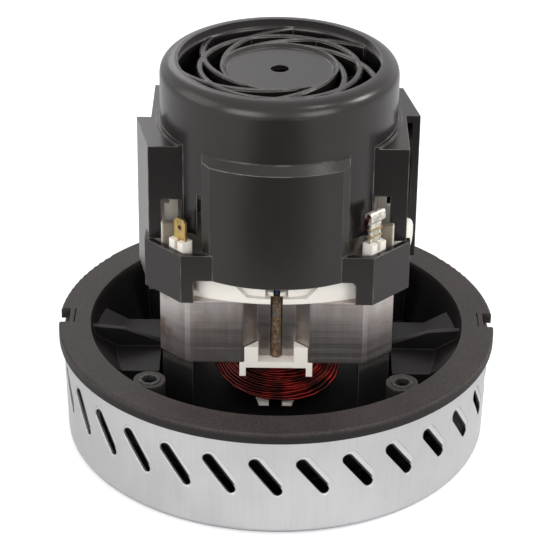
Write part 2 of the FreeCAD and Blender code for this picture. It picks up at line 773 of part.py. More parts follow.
def guide_blocks():
    """The two upright blocks on the flange, with slanted inner ends and rounded outer corners."""
    strip = arc_strip(FLANGE_Y, FLANGE_R, BLOCK_X_OUT, BLOCK_T, FLANGE_TOP, BLOCK_TOP)
    front = [e for e in strip.Edges if e.BoundBox.ZLength > 1 and e.BoundBox.YMin < -FLANGE_Y + BLOCK_T - 0.1]
    corners = [e for e in front if abs(abs(e.BoundBox.XMin) - BLOCK_X_OUT) < 0.01]
    strip = strip.makeFillet(BLOCK_END_R, corners)
    slant_top = FLANGE_TOP + BLOCK_SLANT_H
    outline = [
        vec(-BLOCK_X_FOOT, 0, FLANGE_TOP),
        vec(BLOCK_X_FOOT, 0, FLANGE_TOP),
        vec(BLOCK_X_IN, 0, slant_top),
        vec(BLOCK_X_IN, 0, BLOCK_TOP),
        vec(-BLOCK_X_IN, 0, BLOCK_TOP),
        vec(-BLOCK_X_IN, 0, slant_top),
    ]
    gap = Part.Face(Part.makePolygon(outline + outline[:1])).extrude(vec(0, -BIG, 0))
    return strip.cut(gap)


def upper_end_frame():
    flange = arc_strip(FLANGE_Y, FLANGE_R, FLANGE_X, FLANGE_Y, STACK_TOP, FLANGE_TOP)
    screw_ring = disc(CLAMP_RING_R, FLANGE_TOP, FLANGE_TOP + CLAMP_RING_T, 0, -clamp_y())
    pocket = disc(CLAMP_POCKET_R, FLANGE_TOP, CLAMP_POCKET_TOP, 0, -clamp_y() - 1.0)
    collar = disc(COLLAR_R, STACK_TOP, COLLAR_TOP).cut([pocket, spun(pocket, 180)])
    pieces = [collar]
    for half in (flange, guide_blocks()):
        pieces += [half, spun(half, 180)]
    for sign in (-1, 1):
        socket = socket_turned(terminal_socket(), sign)
        fin = block(FIN_X_IN, FIN_X_OUT, -FIN_Y - FIN_T, -FIN_Y, STACK_TOP, FIN_TOP)
        fin = fin.cut(block(FIN_X_OUT - FIN_STEP_W, FIN_X_OUT, -BIG, 0, FIN_STEP_TOP, BIG))
        cheek = block(CHEEK_X_IN, CHEEK_X_OUT, -CHEEK_Y - CHEEK_T, -CHEEK_Y, STACK_TOP, CHEEK_TOP)
        stem = block(FIN_X_IN - 3.0, CHEEK_X_IN, -CHEEK_Y - CHEEK_T, -FIN_Y, STACK_TOP, COLLAR_TOP - 6.0)
        edges = [e for e in cheek.Edges if abs(e.BoundBox.XMin - CHEEK_X_OUT) < 0.01 and e.Length > CHEEK_T + 1]
        cheek = cheek.makeFillet(CHEEK_T / 2 - 0.05, [e for e in edges if e.BoundBox.ZLength > 1])
        for side in (fin, cheek, stem):
            placed = side if sign > 0 else mirrored(side, vec(1, 0, 0))
            pieces += [placed, spun(placed, 180)]
        pieces += [socket, spun(socket, 180)]
    guide = spun(brush_axis_box(GUIDE_START, GUIDE_END, GUIDE_OUT_W, GUIDE_OUT_H), BRUSH_TURN_DEG)
    guide_bore = spun(brush_axis_box(0, GUIDE_END, GUIDE_IN_W, GUIDE_IN_H), BRUSH_TURN_DEG)
    hollow = disc(COLLAR_R - COLLAR_T, STACK_TOP, COLLAR_TOP)
    body = fuse(pieces).cut(hollow)
    body = body.fuse([screw_ring, spun(screw_ring, 180)])
    cup_r = UPPER_BEARING[1] + CUP_WALL
    cup = ring(cup_r, UPPER_BEARING[1], UPPER_BEARING_Z - 1.0, UPPER_BEARING_Z + UPPER_BEARING[2])
    lip = ring(cup_r, UPPER_BEARING[1] - 1.6, UPPER_BEARING_Z - 1.0, UPPER_BEARING_Z)
    body = fuse([body, guide, spun(guide, 180), cup, lip] + around(bearing_spoke(), 4, 45.0))
    bolt_x = STACK_X - BOLT_INSET
    bolt_pad = disc(BOLT_HEAD_R + 0.6, STACK_TOP, FLANGE_TOP, bolt_x, 0)
    body = body.fuse([bolt_pad, spun(bolt_pad, 180)])
    bolt_hole = disc(BOLT_R + BOLT_GAP, STACK_TOP, FLANGE_TOP, bolt_x, 0)
    head_room = disc(BOLT_HEAD_R + 0.3, FLANGE_TOP, FLANGE_TOP + BOLT_HEAD_T + 0.3, bolt_x, 0)
    clamp_hole = disc(CLAMP_NOTCH_W / 2, STACK_TOP, FLANGE_TOP, 0, -clamp_y())
    notch = block(-CLAMP_NOTCH_W / 2, CLAMP_NOTCH_W / 2, -BIG, -clamp_y(), STACK_TOP, FLANGE_TOP)
    neck_r = CLAMP_NECK_R + CLAMP_PLAY
    neck_hole = disc(neck_r, FLANGE_TOP, FLANGE_TOP + CLAMP_RING_T, 0, -clamp_y())
    neck_notch = block(-neck_r, neck_r, -BIG, -clamp_y(), FLANGE_TOP, FLANGE_TOP + CLAMP_RING_T)
    cutters = [guide_bore, spun(guide_bore, 180), disc(UPPER_BEARING[1], UPPER_BEARING_Z, BIG)]
    for cutter in (bolt_hole, head_room, clamp_hole, notch, neck_hole, neck_notch):
        cutters += [cutter, spun(cutter, 180)]
    return body.cut(cutters)


def clamp_y():
    """Distance of the clamp screws from the axis: they lie in the grooves of the stack."""
    return STACK_Y - BACK_FLAT_DEPTH - GROOVE_DEPTH + CLAMP_R + 0.25


def clamp_screws():
    head_z = FLANGE_TOP + CLAMP_RING_T
    neck_z = head_z - CLAMP_NECK_L
    shank = disc(CLAMP_R, STACK_BOTTOM - FORMER_T, neck_z, 0, -clamp_y())
    neck = disc(CLAMP_NECK_R, neck_z, head_z, 0, -clamp_y())
    head = disc(CLAMP_HEAD_R, head_z, head_z + CLAMP_HEAD_T, 0, -clamp_y())
    screw = fuse([shank, neck, head])
    return Part.makeCompound([screw, spun(screw, 180)])


def stator_bolts():
    x = STACK_X - BOLT_INSET
    shank = disc(BOLT_R, STACK_BOTTOM - BOLT_DEPTH, FLANGE_TOP, x, 0)
    head = disc(BOLT_HEAD_R, FLANGE_TOP, FLANGE_TOP + BOLT_HEAD_T, x, 0)
    recess = disc(BOLT_R, FLANGE_TOP + BOLT_HEAD_T / 2, FLANGE_TOP + BOLT_HEAD_T, x, 0)
    bolt = shank.fuse(head).cut(recess)
    return Part.makeCompound([bolt, spun(bolt, 180)])


# Brush gear, drawn along +X and turned into place

BRUSH_FACE = COMM_R + BRUSH_FACE_GAP
BRUSH_BACK = BRUSH_FACE + BRUSH_LENGTH


def brush_tube():
    outer = brush_axis_box(TUBE_START, GUIDE_END, TUBE_OUT_W, TUBE_OUT_H)
    return outer.cut(brush_axis_box(TUBE_START, GUIDE_END, TUBE_IN_W, TUBE_IN_H))


def carbon_brush():
    body = brush_axis_box(COMM_R - 2.0, BRUSH_BACK, BRUSH_T, BRUSH_H)
    return body.cut(disc(BRUSH_FACE, 0, BIG))


def brush_spring():
    start = BRUSH_BACK + SPRING_WIRE_R
    length = GUIDE_END - SPRING_GAP - SPRING_WIRE_R - start
    helix = Part.makeHelix(length / SPRING_TURNS, length, SPRING_R)
    edge = helix.Edges[0]
    circle = Part.makeCircle(SPRING_WIRE_R, edge.valueAt(edge.FirstParameter), edge.tangentAt(edge.FirstParameter))
    spring = helix.makePipeShell([Part.Wire(circle)], True, True)
    spring.rotate(ORIGIN, vec(0, 1, 0), 90)
    spring.translate(vec(start, 0, BRUSH_Z))
    return spring


def brush_cap():
    """The domed plug that closes a brush guide and backs the spring."""
    height = CAP_RIM + CAP_DOME
    cap = disc(CAP_R, 0, height)
    crown = [e for e in cap.Edges if e.BoundBox.ZMin > height - 0.01]
    cap = cap.makeFillet(CAP_DOME, crown)
    cap.rotate(ORIGIN, vec(0, 1, 0), 90)
    cap.translate(vec(GUIDE_END, 0, BRUSH_Z))
    return cap


def brush_side(shape, side):
    return spun(shape, BRUSH_TURN_DEG + (0 if side == "right" else 180))


# Terminals

def tab_terminal():
    low = SOCKET_TOP - SOCKET_CUT_DEPTH
    outline = [
        (-TAB_W / 2, low),
        (TAB_W / 2, low),
        (TAB_W / 2, TAB_TOP - TAB_CORNER),
        (TAB_W / 2 - TAB_CORNER, TAB_TOP),
        (-TAB_W / 2 + TAB_CORNER, TAB_TOP),
        (-TAB_W / 2, TAB_TOP - TAB_CORNER),
    ]
    corners = [vec(x, -TAB_T / 2, z) for x, z in outline]
    blade = Part.Face(Part.makePolygon(corners + corners[:1])).extrude(vec(0, TAB_T, 0))
    middle = (SOCKET_TOP + TAB_TOP) / 2 + 0.4
    hole = Part.makeCylinder(TAB_HOLE_R, 4 * TAB_T, vec(0, -2 * TAB_T, middle), vec(0, 1, 0))
    return blade.cut(hole)


def crimp_terminal():
    """A tinned terminal rolled round the end of a winding wire."""
    low = SOCKET_TOP - SOCKET_CUT_DEPTH
    strap = block(-CRIMP_W / 2, CRIMP_W / 2, -TAB_T / 2, TAB_T / 2, low, CRIMP_TOP - CRIMP_ROLL_R)
    reach = CRIMP_W / 2 + CRIMP_ROLL_OVER
    roll_high = CRIMP_TOP - CRIMP_ROLL_R
    roll_low = CRIMP_TOP - CRIMP_ROLL_H + CRIMP_ROLL_R
    pieces = [strap, block(-reach, reach, -CRIMP_ROLL_R, CRIMP_ROLL_R, roll_low, roll_high)]
    for height in (roll_low, roll_high):
        pieces.append(Part.makeCylinder(CRIMP_ROLL_R, 2 * reach, vec(-reach, 0, height), vec(1, 0, 0)))
    side = CRIMP_W / 2 + CRIMP_BAND_PROUD
    face = TAB_T / 2 + CRIMP_BAND_PROUD
    for height in CRIMP_BAND_Z:
        pieces.append(block(-side, side, -face, face, height, height + CRIMP_BAND_H))
    bore = Part.makeCylinder(CRIMP_BORE_R, 2 * reach, vec(-reach, 0, roll_high), vec(1, 0, 0))
    return fuse(pieces).cut(bore)


# Bearings

def bearing_radii(bearing):
    bore, outer = bearing[0], bearing[1]
    wall = (outer - bore) * RACE_SHARE
    pitch = (bore + outer) / 2
    ball = (outer - bore) / 2 - wall * 0.62
    return bore, outer, wall, pitch, ball


def bearing_race(bearing, z, outer_race):
    bore, outer, wall, pitch, ball = bearing_radii(bearing)
    width = bearing[2]
    if outer_race:
        race = ring(outer, outer - wall, z, z + width)
    else:
        race = ring(bore + wall, bore, z, z + width)
    groove = Part.makeTorus(pitch, ball + BALL_GAP, vec(0, 0, z + width / 2))
    return race.cut(groove)


def ball_set(bearing, z):
    pitch, ball = bearing_radii(bearing)[3:]
    one = Part.makeSphere(ball, vec(pitch, 0, z + bearing[2] / 2))
    return Part.makeCompound(around(one, BALL_COUNT))


def bearing_cage(bearing, z):
    """The ring that keeps the balls apart, with a round pocket for each."""
    bore, outer, wall, pitch, ball = bearing_radii(bearing)
    middle = z + bearing[2] / 2
    half_wall = (outer - bore) / 2 - wall - CAGE_GAP
    half_height = ball + CAGE_RIM
    cage = ring(pitch + half_wall, pitch - half_wall, middle - half_height, middle + half_height)
    pocket = Part.makeCylinder(ball + BALL_GAP, outer, vec(0, 0, middle), vec(1, 0, 0))
    return cage.cut(around(pocket, BALL_COUNT))


# Rotor

def shaft():
    long_part = disc(SHAFT_R, SHAFT_BOTTOM, UPPER_BEARING_Z - 1.4)
    top_part = disc(SHAFT_TOP_R, UPPER_BEARING_Z - 1.4, SHAFT_TOP)
    body = long_part.fuse(top_part)
    ends = [e for e in body.Edges if e.BoundBox.ZMax < SHAFT_BOTTOM + 0.01 or e.BoundBox.ZMin > SHAFT_TOP - 0.01]
    return body.makeChamfer(0.5, ends).removeSplitter()


def armature_core():
    radius = BORE_R - AIR_GAP
    body = ring(radius, SHAFT_R, STACK_BOTTOM, STACK_TOP)
    slot = block(
        radius - ARM_SLOT_DEPTH, radius + 1, -ARM_SLOT_W / 2, ARM_SLOT_W / 2, STACK_BOTTOM - 1, STACK_TOP + 1
    )
    return body.cut(around(slot, ARM_SLOTS))


def armature_winding():
    """The end turns as two rounded bundles, lobed where they leave the slots."""
    low = turned([
        (SHAFT_R, STACK_BOTTOM - END_WIND_LOW + 2.0),
        (SHAFT_R + 3.0, STACK_BOTTOM - END_WIND_LOW),
        (END_WIND_R - 3.0, STACK_BOTTOM - END_WIND_LOW + 1.2),
        (END_WIND_R, STACK_BOTTOM - 3.0),
        (END_WIND_R, STACK_BOTTOM),
        (SHAFT_R, STACK_BOTTOM),
    ])
    high = turned([
        (SHAFT_R, STACK_TOP),
        (END_WIND_R, STACK_TOP),
        (END_WIND_R, STACK_TOP + 2.4),
        (END_WIND_R - 2.6, STACK_TOP + END_WIND_HIGH - 1.4),
        (COMM_RISER_R - 1.5, STACK_TOP + END_WIND_HIGH),
        (SHAFT_R, STACK_TOP + END_WIND_HIGH),
    ])
    groove = disc(1.0, 0, BIG, END_WIND_R + 0.2, 0)
    cutters = around(groove, ARM_SLOTS, 180.0 / ARM_SLOTS)
    return Part.makeCompound([low.cut(cutters), high.cut(cutters)])


def commutator():
    sleeve_bottom = STACK_TOP + END_WIND_HIGH
    body = ring(COMM_R, SHAFT_R, sleeve_bottom, COMM_TOP)
    riser = ring(COMM_RISER_R, SHAFT_R, COMM_BOTTOM, COMM_BOTTOM + COMM_RISER_H)
    body = body.fuse(riser).removeSplitter()
    cut = block(
        COMM_R - COMM_CUT_DEPTH, COMM_RISER_R + 1, -COMM_CUT_W / 2, COMM_CUT_W / 2, COMM_BOTTOM, COMM_TOP
    )
    return body.cut(around(cut, COMM_BARS))


def front_plate_z(r):
    """Height of the front plate's lower face at a radius."""
    return FRONT_PLATE_Z + FRONT_PLATE_RISE * (r - IMPELLER_EYE_R) / (IMPELLER_R - IMPELLER_EYE_R)


def impeller_front_plate():
    eye = IMPELLER_EYE_R
    return turned([
        (eye, IMPELLER_NECK_Z),
        (eye + PLATE_T, IMPELLER_NECK_Z),
        (eye + PLATE_T, front_plate_z(eye + PLATE_T)),
        (IMPELLER_R, front_plate_z(IMPELLER_R)),
        (IMPELLER_R, front_plate_z(IMPELLER_R) + PLATE_T),
        (eye + PLATE_T, front_plate_z(eye + PLATE_T) + PLATE_T),
        (eye, front_plate_z(eye) + PLATE_T / 2),
    ])


def impeller_back_plate():
    return ring(IMPELLER_R, SHAFT_R, IMPELLER_BACK_Z, IMPELLER_BACK_Z + PLATE_T)


def swept_blade(r_in, r_out, sweep_deg, thickness, low, high):
    """An upright blade along a circular arc that leans back from the inner to the outer radius."""
    start = on_circle(r_in, 0)
    end = on_circle(r_out - thickness, sweep_deg)
    chord = end - start
    side = vec(chord.y, -chord.x).normalize()
    bow = chord.Length * 0.16
    middle = (start + end) * 0.5 + side * bow
    shift = side * thickness
    outer = Part.Arc(start, middle, end).toShape()
    inner = Part.Arc(end + shift, middle + shift, start + shift).toShape()
    outline = Part.Wire([
        outer,
        Part.makeLine(end, end + shift),
        inner,
        Part.makeLine(start + shift, start),
    ])
    blade = Part.Face(outline).extrude(vec(0, 0, high - low))
    blade.translate(vec(0, 0, low))
    return blade


def impeller_blades():
    blade = swept_blade(BLADE_R_IN, IMPELLER_R, -BLADE_SWEEP_DEG, BLADE_T, FRONT_PLATE_Z, IMPELLER_BACK_Z)
    below = turned([
        (0, 0),
        (BIG, 0),
        (BIG, front_plate_z(BIG) + PLATE_T),
        (IMPELLER_EYE_R, front_plate_z(IMPELLER_EYE_R) + PLATE_T),
        (0, front_plate_z(0) + PLATE_T),
    ])
    return Part.makeCompound(around(blade.cut(below), BLADE_COUNT))


def impeller_spacer():
    return ring(SPACER_R, SHAFT_R, IMPELLER_BACK_Z + PLATE_T, LOWER_BEARING_Z)


def impeller_washer():
    return ring(WASHER_R, SHAFT_R, IMPELLER_BACK_Z - WASHER_T, IMPELLER_BACK_Z)


def shaft_nut():
    top = IMPELLER_BACK_Z - WASHER_T
    across = NUT_FLATS / math.sqrt(3)
    hexagon = [(p.x, p.y) for p in (on_circle(across, 60 * i) for i in range(6))]
    nut = prism(hexagon, top - NUT_H, top)
    rounding = Part.makeCone(across - 1.0, across + NUT_H, NUT_H, vec(0, 0, top - NUT_H))
    return nut.common(rounding).cut(disc(SHAFT_R, 0, BIG))


def cooling_fan():
    """A radial fan on the top of the shaft, open to the grille."""
    web = ring(FAN_R, SHAFT_TOP_R, FAN_Z, FAN_Z + FAN_DISC_T)
    hub = ring(FAN_HUB_R, SHAFT_TOP_R, FAN_Z - 4.0, FAN_Z + FAN_BLADE_H)
    blade = swept_blade(FAN_R_IN, FAN_R, -38.0, FAN_BLADE_T, FAN_Z + FAN_DISC_T, FAN_Z + FAN_DISC_T + FAN_BLADE_H)
    return fuse([web, hub] + around(blade, FAN_BLADES))


def fan_clip():
    top = FAN_Z + FAN_BLADE_H
    clip = ring(CLIP_R, SHAFT_TOP_R, top, top + CLIP_T)
    return clip.cut(block(0, CLIP_R + 1, -1.2, 1.2, top, top + CLIP_T))


# Top cover

def panel_body(inset, low, high):
    """The bowed front panel as a solid back to the axis, shrunk by inset, with bevelled side edges."""
    radius = PANEL_R - inset
    centre_y = PANEL_R - PANEL_Y
    left = -PANEL_X_LEFT + inset
    right = PANEL_X_RIGHT - inset
    outline = [(left, 0)]
    for x, inwards in ((left, 1), (right, -1)):
        edge_y = centre_y - math.sqrt(radius * radius - x * x) + PANEL_SIDE_BEVEL
        corner = [(x, edge_y), (x + inwards * PANEL_R / 4, edge_y - PANEL_R / 4)]
        outline += corner if inwards > 0 else corner[::-1]
    outline.append((right, 0))
    return prism(outline, low, high).common(disc(radius, low, high, 0, centre_y))


def panel_outer():
    body = panel_body(0, PANEL_BOTTOM, PANEL_TOP)
    bevel = Part.makeCone(
        PANEL_R, PANEL_R - PANEL_BEVEL, PANEL_BEVEL, vec(0, PANEL_R - PANEL_Y, PANEL_TOP - PANEL_BEVEL)
    )
    keep = bevel.fuse(disc(PANEL_R, PANEL_BOTTOM, PANEL_TOP - PANEL_BEVEL, 0, PANEL_R - PANEL_Y))
    return body.common(keep)


def skirt_points(inset):
    """The eight-cornered skirt outline, shrunk by inset."""
    slant = inset * 0.42
    quarter = [
        (SKIRT_CORNER_X - inset, -(SKIRT_CORNER_Y - slant)),
        (SKIRT_FLAT_X - slant, -(SKIRT_Y - inset)),
    ]
    front = quarter + [(-x, y) for x, y in reversed(quarter)]
    return front + [(-x, -y) for x, y in front]


def wing_points(inset):
    """The slanted wing that hoods one brush, on the front left."""
    return [
        (-BOX_X + inset, -BOX_Y + inset),
        (-WING_X + inset, -WING_Y),
        (-BOX_X + 2 * COVER_WALL, -WING_Y),
        (-BOX_X + 2 * COVER_WALL, -BOX_Y + inset),
    ]


def both_ways(shape):
    return [shape, spun(shape, 180)]


def cover_outer():
    tube = disc(COVER_R, SILL_Z, COVER_TOP)
    top_edge = [e for e in tube.Edges if e.BoundBox.ZMin > COVER_TOP - 0.01 and e.BoundBox.XLength > 1]
    tube = tube.makeFillet(COVER_EDGE_R, top_edge)
    foot = disc(COVER_R + FOOT_STEP, SILL_Z, BOX_TOP + FOOT_STEP / 2)
    box = block(-BOX_X, BOX_X, -BOX_Y, BOX_Y, SKIRT_BOTTOM, BOX_TOP)
    foot = foot.common(block(-BOX_X, BOX_X, -BOX_Y, BOX_Y, SILL_Z, BIG))
    skirt = prism(skirt_points(0), SKIRT_BOTTOM, SILL_Z)
    pieces = [tube, foot, box, skirt]
    pieces += both_ways(panel_outer())
    pieces += both_ways(prism(wing_points(0), WING_BOTTOM, BOX_TOP))
    return fuse(pieces)


def cover_inner():
    wall = COVER_WALL
    roof = BOX_TOP - wall
    below = WING_BOTTOM - 1
    pieces = [
        disc(COVER_R - wall, below, COVER_TOP - COVER_RING_T),
        block(-BOX_X + wall, BOX_X - wall, -BOX_Y + wall, BOX_Y - wall, below, roof),
        prism(skirt_points(wall * 0.8), below, SILL_Z),
    ]
    pieces += both_ways(panel_body(wall, below, PANEL_TOP - PANEL_BEVEL - wall))
    pieces += both_ways(prism(wing_points(wall), below, roof))
    return fuse(pieces)


def cover_openings():
    """Windows, slits and doors: those on the front, then the same after half a turn."""
    wall = COVER_WALL
    back = BOX_Y - wall - 1
    front = COVER_R + FOOT_STEP + 1
    opened = [
        block(-WINDOW_L_OUT, -WINDOW_L_IN, -BOX_Y - 1, -back, SILL_Z, WINDOW_L_TOP),
        block(WINDOW_R_IN, WINDOW_R_OUT, -BOX_Y - 1, -back, SILL_Z, WINDOW_R_TOP),
        block(-SLIT_X_OUT, -SLIT_X_IN, -front, -BOX_Y, SILL_Z, SLIT_TOP),
        block(-WINDOW_L_OUT, -PANEL_X_LEFT, -front, -back, SILL_Z, FRONT_WALL_BOTTOM),
        block(PANEL_X_RIGHT, WINDOW_R_OUT, -front, -back, SILL_Z, FRONT_WALL_BOTTOM),
        block(-BOX_X + wall, -PANEL_X_LEFT, -front, -BOX_Y, SILL_Z, COVER_TUBE_BOTTOM),
        block(PANEL_X_RIGHT, BOX_X - wall, -front, -BOX_Y, SILL_Z, COVER_TUBE_BOTTOM),
        block(-BIG, -BOX_X + wall + 1, -WING_Y, BOX_Y - wall, BRUSH_DOOR_BOTTOM, BRUSH_DOOR_TOP),
        block(-BOX_X, -BOX_X + wall + 1, -BOX_Y + wall, -WING_Y, BRUSH_DOOR_BOTTOM, BOX_TOP - wall),
    ]
    notch = block(-NOTCH_X_LEFT, NOTCH_X_RIGHT, -BIG, -BOX_Y - wall, 0, PANEL_BOTTOM)
    edges = [e for e in notch.Edges if e.BoundBox.ZMin > PANEL_BOTTOM - 0.01 and e.BoundBox.YLength > 1]
    opened.append(notch.makeFillet(NOTCH_CORNER_R, edges))
    return opened + [spun(one, 180) for one in opened]


def rest_rib():
    """An inner rib whose foot rests on the collar of the end frame."""
    rib = block(COLLAR_R - COLLAR_T, BOX_X, -REST_RIB_T / 2, REST_RIB_T / 2, COLLAR_TOP, COLLAR_TOP + REST_RIB_H)
    return rib


def bevelled_ring(radius):
    """A ring of the grille's section, with both top edges bevelled."""
    low = GRILLE_TOP - GRILLE_DEPTH
    return turned([
        (radius - ARM_W, low),
        (radius, low),
        (radius, GRILLE_TOP - ARM_CHAMFER),
        (radius - ARM_CHAMFER, GRILLE_TOP),
        (radius - ARM_W + ARM_CHAMFER, GRILLE_TOP),
        (radius - ARM_W, GRILLE_TOP - ARM_CHAMFER),
    ])


def grille_arm():
    """One curved arm from the ring wall inwards, tangent to the middle disc."""
    span = math.radians(ARM_SPAN_DEG)
    outer = COVER_RING_IN + 0.6
    reach = outer * outer + DISC_R * DISC_R - 2 * outer * DISC_R * math.cos(span)
    radius = reach / (2 * (DISC_R - outer * math.cos(span)))
    centre = on_circle(radius - DISC_R, ARM_START_DEG + ARM_SPAN_DEG + 180)
    low = GRILLE_TOP - GRILLE_DEPTH
    band = bevelled_ring(radius)
    band.translate(centre)
    start = math.radians(ARM_START_DEG)
    wedge = [(0.0, 0.0)]
    steps = 6
    for i in range(steps + 1):
        angle = start + (span + 0.1) * i / steps - 0.05
        wedge.append((2 * outer * math.cos(angle), 2 * outer * math.sin(angle)))
    sector = prism(wedge, low, GRILLE_TOP)
    limit = disc(outer, low, GRILLE_TOP)
    return band.common(sector).common(limit)


def grille():
    low = GRILLE_TOP - GRILLE_DEPTH
    arms = around(grille_arm(), ARM_COUNT)
    mid = bevelled_ring(MID_RING_R)
    plate = disc(DISC_R, GRILLE_TOP - DISC_T, GRILLE_TOP)
    plate = plate.fuse(ring(DISC_R, DISC_R - DISC_LIP_W, GRILLE_TOP - GRILLE_DEPTH, GRILLE_TOP))
    dish = Part.makeCone(DISC_R - DISC_LIP_W, DISC_R - DISC_LIP_W / 3, DISC_LIP, vec(0, 0, GRILLE_TOP - DISC_LIP))
    plate = plate.cut(dish).cut(disc(DISC_HOLE_R, 0, BIG))
    web = fuse(arms + [mid])
    return web.cut(disc(DISC_R - 0.2, low, GRILLE_TOP)).fuse(plate)


def top_cover():
    body = cover_outer().cut(cover_inner())
    ribs = [spun(rest_rib(), a) for a in (REST_RIB_DEG, 180 - REST_RIB_DEG, 180 + REST_RIB_DEG, -REST_RIB_DEG)]
    solid = cover_outer()
    body = body.fuse([rib.common(solid) for rib in ribs])
    mouth = disc(COVER_RING_IN, COVER_TOP - COVER_RING_T - 1, COVER_TOP)
    body = body.cut([mouth] + cover_openings())
    rim_wall = ring(COVER_RING_IN + COVER_WALL / 2, COVER_RING_IN, GRILLE_TOP - GRILLE_DEPTH, COVER_TOP - COVER_EDGE_R / 2)
    return body.fuse([rim_wall, grille()]).removeSplitter()


def rotated_pair(shape):
    return Part.makeCompound([shape, spun(shape, 180)])


parts = {
    "fan_casing": fan_casing,
    "motor_bracket": motor_bracket,
    "mount_inserts": mount_inserts,
    "impeller_front_plate": impeller_front_plate,
    "impeller_back_plate": impeller_back_plate,
    "impeller_blades": impeller_blades,
    "impeller_spacer": impeller_spacer,
    "impeller_washer": impeller_washer,
    "shaft_nut": shaft_nut,
    "shaft": shaft,
    "lower_bearing_outer_race": lambda: bearing_race(LOWER_BEARING, LOWER_BEARING_Z, True),
    "lower_bearing_inner_race": lambda: bearing_race(LOWER_BEARING, LOWER_BEARING_Z, False),
    "lower_bearing_balls": lambda: ball_set(LOWER_BEARING, LOWER_BEARING_Z),
    "lower_bearing_cage": lambda: bearing_cage(LOWER_BEARING, LOWER_BEARING_Z),
    "upper_bearing_outer_race": lambda: bearing_race(UPPER_BEARING, UPPER_BEARING_Z, True),
    "upper_bearing_inner_race": lambda: bearing_race(UPPER_BEARING, UPPER_BEARING_Z, False),
    "upper_bearing_balls": lambda: ball_set(UPPER_BEARING, UPPER_BEARING_Z),
    "upper_bearing_cage": lambda: bearing_cage(UPPER_BEARING, UPPER_BEARING_Z),
    "armature_core": armature_core,
    "armature_winding": armature_winding,
    "commutator": commutator,
    "cooling_fan": cooling_fan,
    "fan_clip": fan_clip,
    "stator_core": stator_core,
    "field_coil_front": field_coil,
    "field_coil_back": lambda: spun(field_coil(), 180),
    "coil_former_front": coil_former,
    "coil_former_back": lambda: spun(coil_former(), 180),
    "upper_end_frame": upper_end_frame,
    "clamp_screws": clamp_screws,
    "stator_bolts": stator_bolts,
    "tab_terminals": lambda: rotated_pair(socket_turned(tab_terminal(), -1)),
    "crimp_terminals": lambda: rotated_pair(socket_turned(crimp_terminal(), 1)),
    "top_cover": top_cover,
}
for side in ("right", "left"):
    for name, maker in (
        ("brush_tube", brush_tube),
        ("carbon_brush", carbon_brush),
        ("brush_spring", brush_spring),
        ("brush_cap", brush_cap),
    ):
        parts[name + "_" + side] = lambda maker=maker, side=side: brush_side(maker(), side)

os.makedirs("parts", exist_ok=True)
for name, maker in parts.items():
    shape = maker()
    shape.exportStep("parts/" + name + ".step")
    if not shape.isValid() or not shape.Solids:
        print("check this piece:", name, "valid", shape.isValid(), "solids", len(shape.Solids))
print("pieces", len(parts))
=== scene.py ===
import math
import random

import bmesh
import bpy
from mathutils import Matrix, Vector


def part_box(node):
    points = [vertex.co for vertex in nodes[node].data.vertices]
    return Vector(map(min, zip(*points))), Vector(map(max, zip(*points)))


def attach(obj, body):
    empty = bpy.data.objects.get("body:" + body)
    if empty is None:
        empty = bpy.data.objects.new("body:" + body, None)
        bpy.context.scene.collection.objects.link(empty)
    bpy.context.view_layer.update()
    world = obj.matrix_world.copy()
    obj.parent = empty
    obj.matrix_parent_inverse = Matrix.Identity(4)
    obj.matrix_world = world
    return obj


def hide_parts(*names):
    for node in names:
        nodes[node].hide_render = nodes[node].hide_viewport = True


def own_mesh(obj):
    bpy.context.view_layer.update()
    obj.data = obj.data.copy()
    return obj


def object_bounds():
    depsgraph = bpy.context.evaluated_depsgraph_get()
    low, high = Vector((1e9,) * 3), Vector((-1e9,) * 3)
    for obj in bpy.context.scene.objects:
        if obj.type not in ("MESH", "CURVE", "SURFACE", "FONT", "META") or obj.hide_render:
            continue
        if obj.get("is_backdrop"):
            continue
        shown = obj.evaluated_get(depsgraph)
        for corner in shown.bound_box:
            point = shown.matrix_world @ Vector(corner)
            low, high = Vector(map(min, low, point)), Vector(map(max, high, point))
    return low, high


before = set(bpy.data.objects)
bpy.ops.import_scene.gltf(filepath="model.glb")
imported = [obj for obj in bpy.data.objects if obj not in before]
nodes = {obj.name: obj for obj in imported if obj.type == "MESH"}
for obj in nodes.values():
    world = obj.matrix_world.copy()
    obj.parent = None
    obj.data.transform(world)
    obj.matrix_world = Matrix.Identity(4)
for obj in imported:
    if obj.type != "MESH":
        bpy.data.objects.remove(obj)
cad_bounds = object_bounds()
bpy.ops.object.select_all(action="DESELECT")


# Studio: a pale floor, a white surround and soft lamps, with the camera where the
# photograph was taken from, as the ellipses of the rim, casing and grille give it. A
# patch of painted shade on the floor before the motor, seen only in reflections and
# bounced light, darkens what the casing and cover reflect.
FOCAL_PIXELS = 2246.525
PHOTO_WIDTH = 550
SENSOR_MM = 36.0
CAMERA_REACH = 20.0
CAMERA_PLACE = (-0.00119, -0.60898, 0.38185)
CAMERA_PITCH = 0.497
CAMERA_YAW = 0.001
CAMERA_ROLL = 0.013
WHITE = (1.0, 1.0, 1.0)
BLACK = (0.0, 0.0, 0.0)
FLOOR_HALF = 4.0
FLOOR_DROP = 0.0002
FLOOR_COLOUR = (0.86, 0.86, 0.86)
FLOOR_GLOW = 0.3
SHADE_PATCH_COLOUR = (0.13, 0.13, 0.13)
SHADE_PATCH_SIDE = (0.08, 0.155)
SHADE_PATCH_BACK = (-0.2, -0.14)
WORLD_LEVEL = 0.55
LAMP_AIM = (0.0, 0.0, 0.06)

